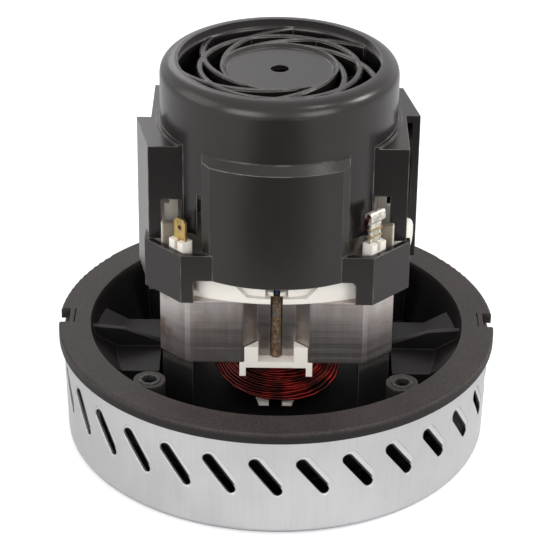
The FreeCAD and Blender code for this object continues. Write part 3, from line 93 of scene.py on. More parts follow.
camera_data = bpy.data.cameras.new("photo_camera")
camera_data.sensor_width = SENSOR_MM
camera_data.lens = FOCAL_PIXELS * SENSOR_MM / PHOTO_WIDTH
camera_data.clip_end = CAMERA_REACH
camera = bpy.data.objects.new("photo_camera", camera_data)
bpy.context.scene.collection.objects.link(camera)
tilt = Matrix.Rotation(-CAMERA_YAW, 4, "Z") @ Matrix.Rotation(math.pi / 2 - CAMERA_PITCH, 4, "X")
camera.matrix_world = Matrix.Translation(CAMERA_PLACE) @ tilt @ Matrix.Rotation(CAMERA_ROLL, 4, "Z")
bpy.context.scene.camera = camera
bpy.context.scene.view_settings.view_transform = "Standard"


class Wire:
    """A socket of a node tree, whose operators add Math nodes."""

    def __init__(self, tree, socket):
        self.tree = tree
        self.socket = socket

    def __add__(self, other):
        return self.tree.maths("ADD", self, other)

    def __radd__(self, other):
        return self.tree.maths("ADD", other, self)

    def __sub__(self, other):
        return self.tree.maths("SUBTRACT", self, other)

    def __rsub__(self, other):
        return self.tree.maths("SUBTRACT", other, self)

    def __mul__(self, other):
        return self.tree.maths("MULTIPLY", self, other)

    def __rmul__(self, other):
        return self.tree.maths("MULTIPLY", other, self)

    def __truediv__(self, other):
        return self.tree.maths("DIVIDE", self, other)

    def __pow__(self, other):
        return self.tree.maths("POWER", self, other)

    def __abs__(self):
        return self.tree.maths("ABSOLUTE", self)

    def __round__(self):
        return self.tree.maths("ROUND", self)

    def at_least(self, other):
        return self.tree.maths("MAXIMUM", self, other)

    def clamped(self, low, high):
        """A mask that rises smoothly from 0 at low to 1 at high, and stays within them."""
        limits = {"Value": self, "From Min": low, "From Max": high}
        return self.tree.node("ShaderNodeMapRange", {"interpolation_type": "SMOOTHSTEP"}, limits)


class NodeTree:
    """A tree of shader nodes, and the one method that adds nodes to it."""

    def __init__(self, tree):
        self.tree = tree

    def node(self, kind, settings, inputs, output=0):
        made = self.tree.nodes.new(kind)
        for key, value in settings.items():
            setattr(made, key, value)
        pairs = inputs.items() if isinstance(inputs, dict) else enumerate(inputs)
        for key, value in pairs:
            self.plug(made.inputs[key], value)
        return Wire(self, made.outputs[output])

    def maths(self, operation, *operands):
        return self.node("ShaderNodeMath", {"operation": operation}, operands)

    def vectors(self, operation, *operands, output="Vector"):
        return self.node("ShaderNodeVectorMath", {"operation": operation}, operands, output)

    def plug(self, socket, value):
        if isinstance(value, Wire):
            self.tree.links.new(value.socket, socket)
        elif socket.type == "RGBA" and len(value) == 3:
            socket.default_value = (*value, 1.0)
        else:
            socket.default_value = value


class Finish(NodeTree):
    """A procedural material, with the moves that several finishes share."""

    BEVEL_SAMPLES = 4
    EDGE_TURN = (0.001, 0.035)
    NOISE_ROUGHNESS = 0.55

    def __init__(self, name, **sockets):
        self.material = bpy.data.materials.new(name)
        self.material.use_nodes = True
        super().__init__(self.material.node_tree)
        self.shader = self.tree.nodes["Principled BSDF"]
        self.place = self.node("ShaderNodeTexCoord", {}, {}, "Object")
        for socket, value in sockets.items():
            self.feed(socket.replace("_", " "), value)

    def feed(self, name, value):
        self.plug(self.shader.inputs[name], value)

    def axis(self, letter):
        """The place along one axis of the object."""
        return self.node("ShaderNodeSeparateXYZ", {}, (self.place,), letter)

    def noise(self, scale, detail=3.0):
        """Cloudy noise on the object's own coordinates, with one scale or one for each axis."""
        scales = scale if isinstance(scale, tuple) else (scale, scale, scale)
        stretched = self.vectors("MULTIPLY", self.place, scales)
        inputs = {"Vector": stretched, "Scale": 1.0, "Detail": detail, "Roughness": self.NOISE_ROUGHNESS}
        return self.node("ShaderNodeTexNoise", {}, inputs)

    def blend(self, mask, low, high):
        """A colour that goes from low to high with the mask."""
        factor, colour_low, colour_high, colour_out = 0, 6, 7, 2
        ends = {factor: mask, colour_low: low, colour_high: high}
        return self.node("ShaderNodeMix", {"data_type": "RGBA"}, ends, colour_out)

    def rounded(self, radius):
        """The normal with every sharp edge softened, as a mould or press leaves it."""
        return self.node("ShaderNodeBevel", {"samples": self.BEVEL_SAMPLES}, {"Radius": radius})

    def edges(self, softened):
        """A mask that is 1 along convex and concave edges."""
        plain = self.node("ShaderNodeNewGeometry", {}, {}, "Normal")
        return (1.0 - self.vectors("DOT_PRODUCT", softened, plain, output="Value")).clamped(*self.EDGE_TURN)

    def relief(self, height, distance, strength, normal=None):
        """Fine bumps in the skin, on top of the softened normal if one is given."""
        inputs = {"Height": height, "Distance": distance, "Strength": strength}
        if normal is not None:
            inputs["Normal"] = normal
        self.feed("Normal", self.node("ShaderNodeBump", {}, inputs))


def paint(piece, finish):
    """Gives a piece one finish."""
    piece.data.materials.clear()
    piece.data.materials.append(finish.material)


bpy.ops.mesh.primitive_plane_add(size=2 * FLOOR_HALF, location=(0, 0, -FLOOR_DROP))
floor = bpy.context.object
floor.name = "studio_floor"
paper = Finish("studio_paper", Roughness=0.9, Specular_IOR_Level=0.0, Emission_Strength=FLOOR_GLOW)
to_camera = paper.node("ShaderNodeLightPath", {}, {}, "Is Camera Ray")
# Painted shade: a dark patch on the floor before the motor, which only reflections and bounced light see.
in_shade_patch = (1.0 - abs(paper.axis("X")).clamped(*SHADE_PATCH_SIDE)) * (1.0 - paper.axis("Y").clamped(*SHADE_PATCH_BACK))
lit_paper = paper.blend(in_shade_patch, FLOOR_COLOUR, SHADE_PATCH_COLOUR)
paper.feed("Base Color", paper.blend(to_camera, lit_paper, WHITE))
paper.feed("Emission Color", paper.blend(to_camera, BLACK, WHITE))
paint(floor, paper)
floor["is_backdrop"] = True

world = bpy.data.worlds.new("white_surround")
world.use_nodes = True
bpy.context.scene.world = world
sky = NodeTree(world.node_tree)
seen, passed, mirrored = (
    sky.node("ShaderNodeLightPath", {}, {}, ray)
    for ray in ("Is Camera Ray", "Is Transmission Ray", "Is Glossy Ray")
)
shown = seen.at_least(passed).at_least(mirrored)
surround = sky.tree.nodes["Background"]
sky.plug(surround.inputs["Color"], WHITE)
sky.plug(surround.inputs["Strength"], WORLD_LEVEL + (1.0 - WORLD_LEVEL) * shown)


def soft_lamp(name, place, size, watts):
    """A square softbox that faces the motor."""
    data = bpy.data.lights.new(name, "AREA")
    data.shape = "SQUARE"
    data.size = size
    data.energy = watts
    lamp = bpy.data.objects.new(name, data)
    bpy.context.scene.collection.objects.link(lamp)
    aim = Vector(LAMP_AIM) - Vector(place)
    lamp.matrix_world = Matrix.Translation(place) @ aim.to_track_quat("-Z", "Y").to_matrix().to_4x4()


soft_lamp("left_softbox", (-1.2, -0.1, 0.6), size=0.9, watts=3.5)
soft_lamp("top_softbox", (0.5, -0.3, 1.2), size=0.22, watts=1.3)
soft_lamp("right_softbox", (1.15, 0.08, 0.88), size=0.34, watts=5.6)
soft_lamp("back_softbox", (-0.35, 1.15, 0.75), size=0.5, watts=1.4)
soft_lamp("front_left_softbox", (-0.75, -1.2, 0.55), size=0.8, watts=7.8)
soft_lamp("front_right_softbox", (0.85, -1.15, 0.55), size=0.75, watts=6.2)


# Fan casing: a cup drawn from aluminium sheet, closed by the bracket. Its slanted slots
# are pushed through on a press, which leaves a coined lip beside each one. The drawing
# leaves fine streaks up the wall, and handling leaves smudges. The slot mouths and the
# inside are painted near black as shade, the coined lips carry a painted highlight, and
# a painted bluish shade runs round the foot.
ALUMINIUM = (0.645, 0.645, 0.652)
ALUMINIUM_SHADE = (0.57, 0.57, 0.578)
ALUMINIUM_INSIDE_SHADE = (0.012, 0.0115, 0.0115)
ALUMINIUM_LIP_HIGHLIGHT = (0.69, 0.69, 0.70)
ALUMINIUM_FOOT_SHADE = (0.33, 0.325, 0.37)
DRAW_STREAKS = (1100.0, 1100.0, 45.0)
PRESS_GRAIN = 5200.0
SMUDGE = 45.0
TONE_SPREAD = (0.3, 0.7)
WALL_R_FOOT = 0.0654
WALL_LEAN = 0.0244
WALL_INSIDE = (0.00075, 0.00095)
FLOOR_INSIDE = (0.0022, 0.003)
SLOT_COUNT = 30
SLOT_FIRST = math.radians(-92.3)
SLOT_HEIGHT = 0.0199
SLOT_RUN = (0.0069, 0.0090)
SLOT_LEAN = math.atan2(*SLOT_RUN)
SLOT_HALF = math.hypot(*SLOT_RUN) / 2
MOUTH_SHIFT = 0.0003
MOUTH_HALF = 0.0018
MOUTH_BLUR = 0.0001
MOUTH_DEPTH = (0.0001, 0.00018)
LIP_FROM = (0.00008, 0.0002)
LIP_TO = (0.0006, 0.0007)
LIP_HEIGHT = (0.004, 0.006)
FOOT_SHADE_HEIGHT = (0.0006, 0.0019)
FOOT_SHADE_SHARE = 0.8


def dress(finish, *names):
    """Gives CAD nodes one finish."""
    for name in names:
        paint(nodes[name], finish)


def from_shaft(finish):
    """The distance from the shaft's axis."""
    sideways = finish.axis("X")
    ahead = finish.axis("Y")
    return (sideways * sideways + ahead * ahead) ** 0.5


drawn = Finish("drawn_aluminium")
streak = drawn.noise(DRAW_STREAKS, detail=4.0)
grain = drawn.noise(PRESS_GRAIN, detail=2.0)
smudge = drawn.noise(SMUDGE, detail=4.0)
soft = drawn.rounded(radius=0.0006)
height = drawn.axis("Z")
out = from_shaft(drawn)
depth = WALL_R_FOOT + WALL_LEAN * height - out
angle = drawn.maths("ARCTAN2", drawn.axis("Y"), drawn.axis("X"))
pitches = (angle - SLOT_FIRST) * (SLOT_COUNT / math.tau)
beside = (pitches - round(pitches)) * out * (math.tau / SLOT_COUNT)
above = height - SLOT_HEIGHT
along = above * math.cos(SLOT_LEAN) - beside * math.sin(SLOT_LEAN)
across = beside * math.cos(SLOT_LEAN) + above * math.sin(SLOT_LEAN) - MOUTH_SHIFT
past_end = (abs(along) - SLOT_HALF).at_least(0.0)
from_slot = (across * across + past_end * past_end) ** 0.5
# Painted shade: the mouth of each slot is painted near black.
mouth = 1.0 - from_slot.clamped(MOUTH_HALF - MOUTH_BLUR, MOUTH_HALF + MOUTH_BLUR)
mouth = mouth * depth.clamped(*MOUTH_DEPTH)
# Painted shade: the inside wall and floor of the casing are painted near black as well.
painted_inside_shade = 1.0 - (1.0 - mouth) * (1.0 - depth.clamped(*WALL_INSIDE) * height.clamped(*FLOOR_INSIDE))
# Painted highlight: the coined lip beside each slot is painted paler.
lip_highlight = (depth.clamped(*LIP_FROM) - depth.clamped(*LIP_TO)) * height.clamped(*LIP_HEIGHT)
# Painted shade: a bluish dark band is painted round the foot of the wall.
foot_shade = FOOT_SHADE_SHARE - FOOT_SHADE_SHARE * height.clamped(*FOOT_SHADE_HEIGHT)
tone = (streak * 0.35 + smudge * 0.65).clamped(*TONE_SPREAD)
skin = drawn.blend(tone, ALUMINIUM_SHADE, ALUMINIUM)
skin = drawn.blend(lip_highlight, skin, ALUMINIUM_LIP_HIGHLIGHT)
skin = drawn.blend(foot_shade, skin, ALUMINIUM_FOOT_SHADE)
drawn.feed("Base Color", drawn.blend(painted_inside_shade, skin, ALUMINIUM_INSIDE_SHADE))
drawn.feed("Metallic", 0.95 - 0.6 * painted_inside_shade)
drawn.feed("Roughness", 0.27 + 0.06 * streak.clamped(*TONE_SPREAD) + 0.08 * smudge + 0.3 * painted_inside_shade)
drawn.relief(streak * 0.5 + grain * 0.5, distance=0.00002, strength=0.15, normal=soft)
dress(drawn, "fan_casing")


# Impeller: two plates pressed from aluminium sheet with curved blades between them,
# clamped on the shaft by the nut. It is painted near black as the shade inside the
# casing, with a cloudy pattern of the dust that the air carries past over it.
IMPELLER_SHADED_GREY = (0.055, 0.055, 0.055)
IMPELLER_SHADED_DUST = (0.022, 0.021, 0.020)
DIRT_SCALE = 160.0
DIRT_SPREAD = (0.35, 0.6)

shaded_dusty = Finish("shaded_dusty_impeller", Metallic=0.7)
dirt = shaded_dusty.noise(DIRT_SCALE, detail=4.0)
# Painted shade: both colours are near black, standing for the shade inside the casing.
shaded_dusty.feed("Base Color", shaded_dusty.blend(dirt.clamped(*DIRT_SPREAD), IMPELLER_SHADED_DUST, IMPELLER_SHADED_GREY))
shaded_dusty.feed("Roughness", 0.5 + 0.2 * dirt)
shaded_dusty.relief(dirt, distance=0.00005, strength=0.3, normal=shaded_dusty.rounded(radius=0.0002))
dress(shaded_dusty, "impeller_front_plate", "impeller_back_plate", "impeller_blades")


# Motor bracket: one moulding in black filled nylon. The glass in it leaves a fine
# speckle. The rim top is painted lighter and browner than the dish below it, whose
# near black is painted shade, and the edges carry a painted highlight.
BRACKET = (0.0075, 0.0070, 0.0070)
BRACKET_RIM_LIT = (0.036, 0.0295, 0.0275)
BRACKET_FLECK_AND_HIGHLIGHT = (0.15, 0.125, 0.11)
BRACKET_SHINE = (1.0, 0.92, 0.90)
RIM_LEVEL = (0.0345, 0.0360)
GLASS_FLECK = 2100.0
MOULD_GRAIN = 1100.0
MOULD_CLOUD = 90.0
FLECK_SPREAD = (0.58, 0.72)
GRAIN_SPREAD = (0.25, 0.75)
EDGE_HIGHLIGHT_SPREAD = (0.3, 0.6)

nylon = Finish("bracket_nylon", Specular_IOR_Level=0.3, Specular_Tint=BRACKET_SHINE)
fleck = nylon.noise(GLASS_FLECK)
cloud = nylon.noise(MOULD_CLOUD, detail=4.0)
coarse = nylon.noise(MOULD_GRAIN, detail=2.0)
soft = nylon.rounded(radius=0.0004)
on_rim = nylon.axis("Z").clamped(*RIM_LEVEL)
# Painted light: the rim top is painted lighter than the shaded dish, with a coarse mottle over it.
lit_mottled_rim = on_rim * (0.4 + 0.7 * coarse.clamped(*GRAIN_SPREAD) + 0.9 * (cloud - 0.5))
plain = nylon.blend(lit_mottled_rim, BRACKET, BRACKET_RIM_LIT)
speck = fleck.clamped(*FLECK_SPREAD) * (0.12 + 0.9 * on_rim)
# Painted highlight along the edges, mixed with the glass speckle.
fleck_and_highlight = nylon.edges(soft) * cloud.clamped(*EDGE_HIGHLIGHT_SPREAD) * 0.4 + speck * 0.45
nylon.feed("Base Color", nylon.blend(fleck_and_highlight, plain, BRACKET_FLECK_AND_HIGHLIGHT))
nylon.feed("Roughness", 0.4 + 0.25 * fleck)
nylon.relief(fleck, distance=0.00007, strength=0.7, normal=soft)
dress(nylon, "motor_bracket")


# Stator and armature stacks: steel sheets half a millimetre thick, stamped and
# pressed together. Each sheet's edge shows as a line, and the die drags streaks down.
# The recess in front carries painted shade, and the flanks and edges painted highlights.
SHEET_T = 0.0005
STEEL_SHEET = (0.57, 0.53, 0.515)
STEEL_SHEET_DARK = (0.455, 0.42, 0.41)
STEEL_SHEET_RUST = (0.33, 0.20, 0.15)
STEEL_SHEET_DULL_AND_SHADE = (0.10, 0.092, 0.088)
STEEL_SHEET_HIGHLIGHT = (0.74, 0.70, 0.68)
SHEET_TONES = (9.0, 9.0, 1900.0)
DIE_STREAKS = (700.0, 700.0, 25.0)
STAIN = 110.0
RUST_PITS = 1500.0
SHEET_SPREAD = (0.3, 0.7)
STAIN_SPREAD = (0.42, 0.64)
PITS_SPREAD = (0.62, 0.7)
GAP_LINE = (0.0, 0.35)
GAP_ROUND = (0.0, 0.5)
RECESS_EDGE = (0.0098, 0.0108)
RECESS_FRONT = (-0.025, -0.022)
RECESS_LIT = (-0.005, 0.004)
STACK_FLANK_HIGHLIGHT = (0.026, 0.031)
RUSTED_SIDE = (-0.035, -0.024)
PITTED_SIDE = (0.027, 0.034)

sheets = Finish("lamination_stack", Metallic=0.95)
sideways = sheets.axis("X")
height = sheets.axis("Z")
within = sheets.maths("PINGPONG", height, SHEET_T / 2) / (SHEET_T / 2)
layer = sheets.noise(SHEET_TONES, detail=1.0)
die = sheets.noise(DIE_STREAKS)
stain = sheets.noise(STAIN, detail=4.0)
soft = sheets.rounded(radius=0.0004)
sheet_gap = 1.0 - within.clamped(*GAP_LINE)
# Painted shade: the recess in front of the stack is painted dull, darker on its left.
painted_recess_shade = (1.0 - abs(sideways).clamped(*RECESS_EDGE)) * (1.0 - sheets.axis("Y").clamped(*RECESS_FRONT))
rusted = (0.3 + 0.5 * (1.0 - sideways.clamped(*RUSTED_SIDE))) * stain.clamped(*STAIN_SPREAD)
pits = sheets.noise(RUST_PITS).clamped(*PITS_SPREAD) * sideways.clamped(*PITTED_SIDE)
tone = (layer * 0.5 + die * 0.5).clamped(*SHEET_SPREAD)
metal = sheets.blend(tone, STEEL_SHEET_DARK, STEEL_SHEET)
metal = sheets.blend(sheet_gap * 0.32, metal, STEEL_SHEET_DULL_AND_SHADE)
metal = sheets.blend(painted_recess_shade * (0.5 - 0.28 * sideways.clamped(*RECESS_LIT)), metal, STEEL_SHEET_DULL_AND_SHADE)
# Painted highlight: the flanks of the stack and all its edges are painted paler.
metal = sheets.blend(abs(sideways).clamped(*STACK_FLANK_HIGHLIGHT) * 0.5, metal, STEEL_SHEET_HIGHLIGHT)
metal = sheets.blend(rusted, metal, STEEL_SHEET_RUST)
metal = sheets.blend(pits * 0.8, metal, STEEL_SHEET_DULL_AND_SHADE)
sheets.feed("Base Color", sheets.blend(sheets.edges(soft) * 0.6, metal, STEEL_SHEET_HIGHLIGHT))
sheets.feed("Roughness", 0.27 + 0.05 * layer.clamped(*SHEET_SPREAD) + 0.06 * stain)
sheets.relief(within.clamped(*GAP_ROUND), distance=0.000006, strength=0.25, normal=soft)
dress(sheets, "stator_core", "armature_core")


# Field coils: enamelled copper wire wound round each pole in layers. The enamel is a
# deep, clear red that shines on each turn, with dark patches, and it is painted darker
# towards the left as shade.
ENAMEL = (0.33, 0.020, 0.015)
ENAMEL_DARK_AND_SHADED = (0.045, 0.005, 0.004)
ENAMEL_RIPPLE = 700.0
ENAMEL_PATCH = 170.0
PATCH_SPREAD = (0.42, 0.62)
SHADED_SIDE = (-0.013, 0.004)
WIRE_RADIUS = 0.00040
COIL_LAYERS = 4
COIL_TURNS = 13
LEG_RADIUS = 0.02335
LAYER_STEP = 0.00078
TURN_STEP = 0.00089
HALF_ARC = 0.0105
COIL_ARC_RADIUS = 0.0246
LEG_LOW = 0.0374
LEG_HIGH = 0.0604
CROWN_SAG = 0.0043
CROWN_STEPS = 14
CROWN_BULGE = 0.0009
CROWN_SWELL = 0.4
CROWN_FULLNESS = 0.9
LOOSE_LEAN = 0.014
LOOSE_WAVE = 0.00025
CROSS_LEAN = 0.055
OUTER_SLACK = 2.4
STRAY = 0.00010
COIL_SEEDS = {"front": 3, "back": 8}
COIL_ANGLES = {"front": 0.0, "back": math.pi}

enamel = Finish("wire_enamel", Metallic=0.85, Coat_Weight=0.15, Coat_Roughness=0.08, Coat_IOR=1.5)
ripple = enamel.noise(ENAMEL_RIPPLE, detail=2.0)
patch = enamel.noise(ENAMEL_PATCH)
# Painted shade: the wire is painted darker towards the left side.
patchy_and_lit = patch.clamped(*PATCH_SPREAD) * (0.12 + 0.88 * enamel.axis("X").clamped(*SHADED_SIDE))
enamel.feed("Base Color", enamel.blend(patchy_and_lit, ENAMEL_DARK_AND_SHADED, ENAMEL))
enamel.feed("Roughness", 0.16 + 0.1 * ripple)
enamel.relief(ripple, distance=0.00003, strength=0.3)


def coil_route(rng):
    """Points along one unbroken wire, wound out and back in layers about the pole."""
    points = []
    for layer in range(COIL_LAYERS):
        slack = OUTER_SLACK if layer == COIL_LAYERS - 1 else 1.0
        order = range(COIL_TURNS) if layer % 2 == 0 else reversed(range(COIL_TURNS))
        for turn in order:
            grown = turn * TURN_STEP + rng.uniform(-STRAY, STRAY)
            radius = LEG_RADIUS + layer * LAYER_STEP + rng.uniform(-STRAY, STRAY)
            reach = (HALF_ARC + grown) / COIL_ARC_RADIUS
            swell = CROWN_BULGE * (CROWN_SWELL + turn / COIL_TURNS)
            for base, way in ((LEG_LOW, -1.0), (LEG_HIGH, 1.0)):
                sag = CROWN_SAG + grown + rng.uniform(-STRAY, STRAY)
                lean = slack * rng.uniform(-LOOSE_LEAN, LOOSE_LEAN) + CROSS_LEAN * (layer % 2)
                wave = slack * rng.uniform(-LOOSE_WAVE, LOOSE_WAVE)
                for step in range(CROWN_STEPS + 1):
                    swing = math.pi * step / CROWN_STEPS
                    rise = math.sin(swing)
                    turned = reach * math.cos(swing) * -way + lean * rise
                    bulge = radius + swell * math.sin(2 * swing) ** 2 + wave * rise
                    points.append((
                        bulge * math.sin(turned),
                        -bulge * math.cos(turned),
                        base + way * (sag * rise ** CROWN_FULLNESS + wave * math.sin(2 * swing)),
                    ))
    return points


def wire_mesh(name, points, radius, sides):
    """A round wire along the points, as a mesh."""
    curve = bpy.data.curves.new(name, "CURVE")
    curve.dimensions = "3D"
    curve.bevel_depth = radius
    curve.bevel_resolution = sides
    curve.use_fill_caps = True
    spline = curve.splines.new("POLY")
    spline.points.add(len(points) - 1)
    for point, place in zip(spline.points, points):
        point.co = (*place, 1.0)
    strand = bpy.data.objects.new(name, curve)
    bpy.context.scene.collection.objects.link(strand)
    bpy.ops.object.select_all(action="DESELECT")
    strand.select_set(True)
    bpy.context.view_layer.objects.active = strand
    bpy.ops.object.convert(target="MESH")
    bpy.ops.object.shade_smooth()
    made = bpy.context.object
    made.name = name
    return made


for side, seed in COIL_SEEDS.items():
    coil = wire_mesh("wound_coil_" + side, coil_route(random.Random(seed)), WIRE_RADIUS, sides=1)
    coil.data.transform(Matrix.Rotation(COIL_ANGLES[side], 4, "Z"))
    paint(coil, enamel)
    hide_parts("field_coil_" + side)
    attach(coil, "motor_body")


# Armature winding: the same enamelled wire, wound from slot to slot of the armature
# across both ends, each coil over the last, and soaked in varnish.
ARMATURE_SLOTS = 12
SLOT_SPAN = 5
STRANDS = 9
STRAND_RADIUS = 0.00028
STACK_LOW = 0.0386
STACK_HIGH = 0.0592
MOUTH_LOW_R = 0.0136
MOUTH_HIGH_R = 0.0162
END_LOW = 0.0076
END_HIGH = 0.0046
END_STEPS = 12
END_FULLNESS = 0.6
NECK_R = 0.0072
NECK_FIRST = 0.15
NECK_GROWTH = 0.6
CROWN_FIRST = 0.45
CROWN_GROWTH = 0.4
CROWN_DROP = 0.15
ARMATURE_SEED = 5
BUNDLE_SIDES = 48
BUNDLE_PROFILE = (
    (0.0046, 0.0), (0.0046, 0.8), (0.0085, 0.86), (0.0128, 0.6), (0.0150, 0.3), (0.0154, 0.0),
)


def end_turns(base, way, depth, rng):
    """The strands of every coil across one end of the armature."""
    routes = []
    for coil_number in range(ARMATURE_SLOTS):
        first = math.tau * coil_number / ARMATURE_SLOTS
        stacked = coil_number / (ARMATURE_SLOTS - 1)
        for strand_number in range(STRANDS):
            share = strand_number / (STRANDS - 1)
            mouth = MOUTH_LOW_R + (MOUTH_HIGH_R - MOUTH_LOW_R) * share
            neck = NECK_R + (mouth - NECK_R) * (NECK_FIRST + NECK_GROWTH * share) + rng.uniform(-STRAY, STRAY)
            crown = depth * (CROWN_FIRST + CROWN_GROWTH * stacked + CROWN_DROP * (1.0 - share))
            points = []
            for step in range(END_STEPS + 1):
                along_end = step / END_STEPS
                hump = math.sin(math.pi * along_end)
                angle = first + math.tau * SLOT_SPAN / ARMATURE_SLOTS * along_end
                radius = mouth - (mouth - neck) * hump
                rise = STRAND_RADIUS + (crown - 2 * STRAND_RADIUS) * hump ** END_FULLNESS
                points.append((radius * math.cos(angle), radius * math.sin(angle), base + way * rise))
            routes.append(points)
    return routes


def joined(name, pieces):
    """Several mesh objects as one."""
    bpy.ops.object.select_all(action="DESELECT")
    for piece in pieces:
        piece.select_set(True)
    bpy.context.view_layer.objects.active = pieces[0]
    bpy.ops.object.join()
    pieces[0].name = name
    return pieces[0]


def placed(name, shape):
    """An object in the scene that holds the shape's mesh."""
    mesh = bpy.data.meshes.new(name)
    shape.to_mesh(mesh)
    shape.free()
    piece = bpy.data.objects.new(name, mesh)
    bpy.context.scene.collection.objects.link(piece)
    return piece


def varnished_bundle(base, way, depth):
    """The solid middle of one end winding, turned about the shaft."""
    shape = bmesh.new()
    rings = []
    for radius, share in BUNDLE_PROFILE:
        ring = []
        for side in range(BUNDLE_SIDES):
            angle = math.tau * side / BUNDLE_SIDES
            place = (radius * math.cos(angle), radius * math.sin(angle), base + way * depth * share)
            ring.append(shape.verts.new(place))
        rings.append(ring)
    for near, far in zip(rings, rings[1:]):
        for side in range(BUNDLE_SIDES):
            after = (side + 1) % BUNDLE_SIDES
            shape.faces.new((near[side], near[after], far[after], far[side]))
    return placed("varnished_bundle", shape)


rng = random.Random(ARMATURE_SEED)
strands = []
for base, way, depth in ((STACK_LOW, -1.0, END_LOW), (STACK_HIGH, 1.0, END_HIGH)):
    for route in end_turns(base, way, depth, rng):
        strands.append(wire_mesh("strand", route, STRAND_RADIUS, sides=0))
    strands.append(varnished_bundle(base, way, depth))
winding = joined("wound_armature", strands)
paint(winding, enamel)
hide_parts("armature_winding")
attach(winding, "rotor")


# White mouldings: the end frame that carries the brushes and the upper bearing, the coil
# formers and the brush caps, in glass-filled polyester with a warm, slightly waxy white.
# Round the brushes it is darkened, as soot from them and as painted shade under the
# cover, and the inner cheeks carry painted shade, paler at their outer rims.
POLYESTER = (0.91, 0.875, 0.81)
POLYESTER_SHADE = (0.84, 0.80, 0.73)
POLYESTER_DUST_AND_SHADE = (0.25, 0.215, 0.175)
CHEEK_SHADE = (0.15, 0.12, 0.085)
FLOW_SWIRL = 65.0
FINE_PITS = 3200.0
WAXY_SPREAD = (0.35, 0.65)
DUST_SPREAD = (0.55, 0.75)
SOOT_AND_SHADE_REACH = (0.0355, 0.0395)
SOOT_AND_SHADE_HEIGHT = (0.066, 0.074)
CHEEK_FROM = (0.0214, 0.0220)
CHEEK_TO = (0.0246, 0.0250)
CHEEK_HEIGHT = (0.070, 0.073)
CHEEK_LIT_RIM = (0.0334, 0.0342)

polyester = Finish("white_polyester", Specular_IOR_Level=0.45)
swirl = polyester.noise(FLOW_SWIRL, detail=5.0)
pit = polyester.noise(FINE_PITS, detail=2.0)
soft = polyester.rounded(radius=0.00035)
height = polyester.axis("Z")
back = abs(polyester.axis("Y"))
# Painted shade and soot: the white is darkened near the brushes, under the cover.
soot_and_shade_near_brushes = (1.0 - from_shaft(polyester).clamped(*SOOT_AND_SHADE_REACH)) * height.clamped(*SOOT_AND_SHADE_HEIGHT)
dust_and_shade = swirl.clamped(*DUST_SPREAD) * 0.12 + soot_and_shade_near_brushes * (0.5 + 0.6 * swirl)
# Painted shade: the inner cheeks are painted dark, paler towards their outer rims as a painted highlight.
cheek_shade = (back.clamped(*CHEEK_FROM) - back.clamped(*CHEEK_TO)) * height.clamped(*CHEEK_HEIGHT)
cheek_shade = cheek_shade * (0.85 + 0.25 * swirl) * (1.0 - 0.75 * abs(polyester.axis("X")).clamped(*CHEEK_LIT_RIM))
waxy = polyester.blend(swirl.clamped(*WAXY_SPREAD), POLYESTER_SHADE, POLYESTER)
sooty_and_shaded = polyester.blend(dust_and_shade, waxy, POLYESTER_DUST_AND_SHADE)
polyester.feed("Base Color", polyester.blend(cheek_shade, sooty_and_shaded, CHEEK_SHADE))
polyester.feed("Roughness", 0.38 + 0.2 * pit)
polyester.relief(pit * 0.6 + swirl * 0.4, distance=0.00005, strength=0.4, normal=soft)
dress(polyester, "upper_end_frame", "coil_former_front", "coil_former_back")
dress(polyester, "brush_cap_left", "brush_cap_right")


# Clamp screws: long steel screws that pull the end frame down on the stack. They have
# started to rust in their grooves, and their flat heads are darkened.
RUST = (0.075, 0.04, 0.022)
RUST_PALE = (0.25, 0.165, 0.085)
SCREW_STEEL = (0.24, 0.22, 0.20)
HEAD_BLACK = (0.03, 0.03, 0.035)
NECK_BLUE = (0.05, 0.07, 0.16)
RUST_FLAKE = 1500.0
RUST_BLOOM = 420.0
FLAKE_SPREAD = (0.42, 0.68)
BARE_SPREAD = (0.52, 0.62)
HEAD_T = 0.0008
HEAD_BLUR = 0.0002
NECK_L = 0.0026
NECK_BLUR = 0.0004

rusty = Finish("rusted_screw")
flake = rusty.noise(RUST_FLAKE, detail=5.0)
bloom = rusty.noise(RUST_BLOOM, detail=4.0)
height = rusty.axis("Z")
head_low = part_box("clamp_screws")[1][2] - HEAD_T
is_head = height.clamped(head_low - HEAD_BLUR, head_low)
is_neck = height.clamped(head_low - NECK_L, head_low - NECK_L + NECK_BLUR)
rust = rusty.blend(flake.clamped(*FLAKE_SPREAD), RUST, RUST_PALE)
bare = bloom.clamped(*BARE_SPREAD)
shank = rusty.blend(is_neck, rusty.blend(bare, rust, SCREW_STEEL), NECK_BLUE)
rusty.feed("Base Color", rusty.blend(is_head, shank, HEAD_BLACK))
rusty.feed("Metallic", 0.35 + 0.55 * bare)
rusty.feed("Roughness", 0.75 - 0.4 * bare)
rusty.relief(flake + bloom * 0.5, distance=0.00018, strength=0.8)
dress(rusty, "clamp_screws")


# Steel parts: the shaft, the bearings' races and balls, the stator screws, and the clip,
# nut, spacer and washer on the shaft, all of them ground or turned bright.
STEEL = (0.55, 0.55, 0.55)
STEEL_SHADE = (0.36, 0.36, 0.37)
TURNING_RINGS = (500.0, 500.0, 9000.0)
OIL_FILM = 260.0
STEEL_SPREAD = (0.3, 0.7)

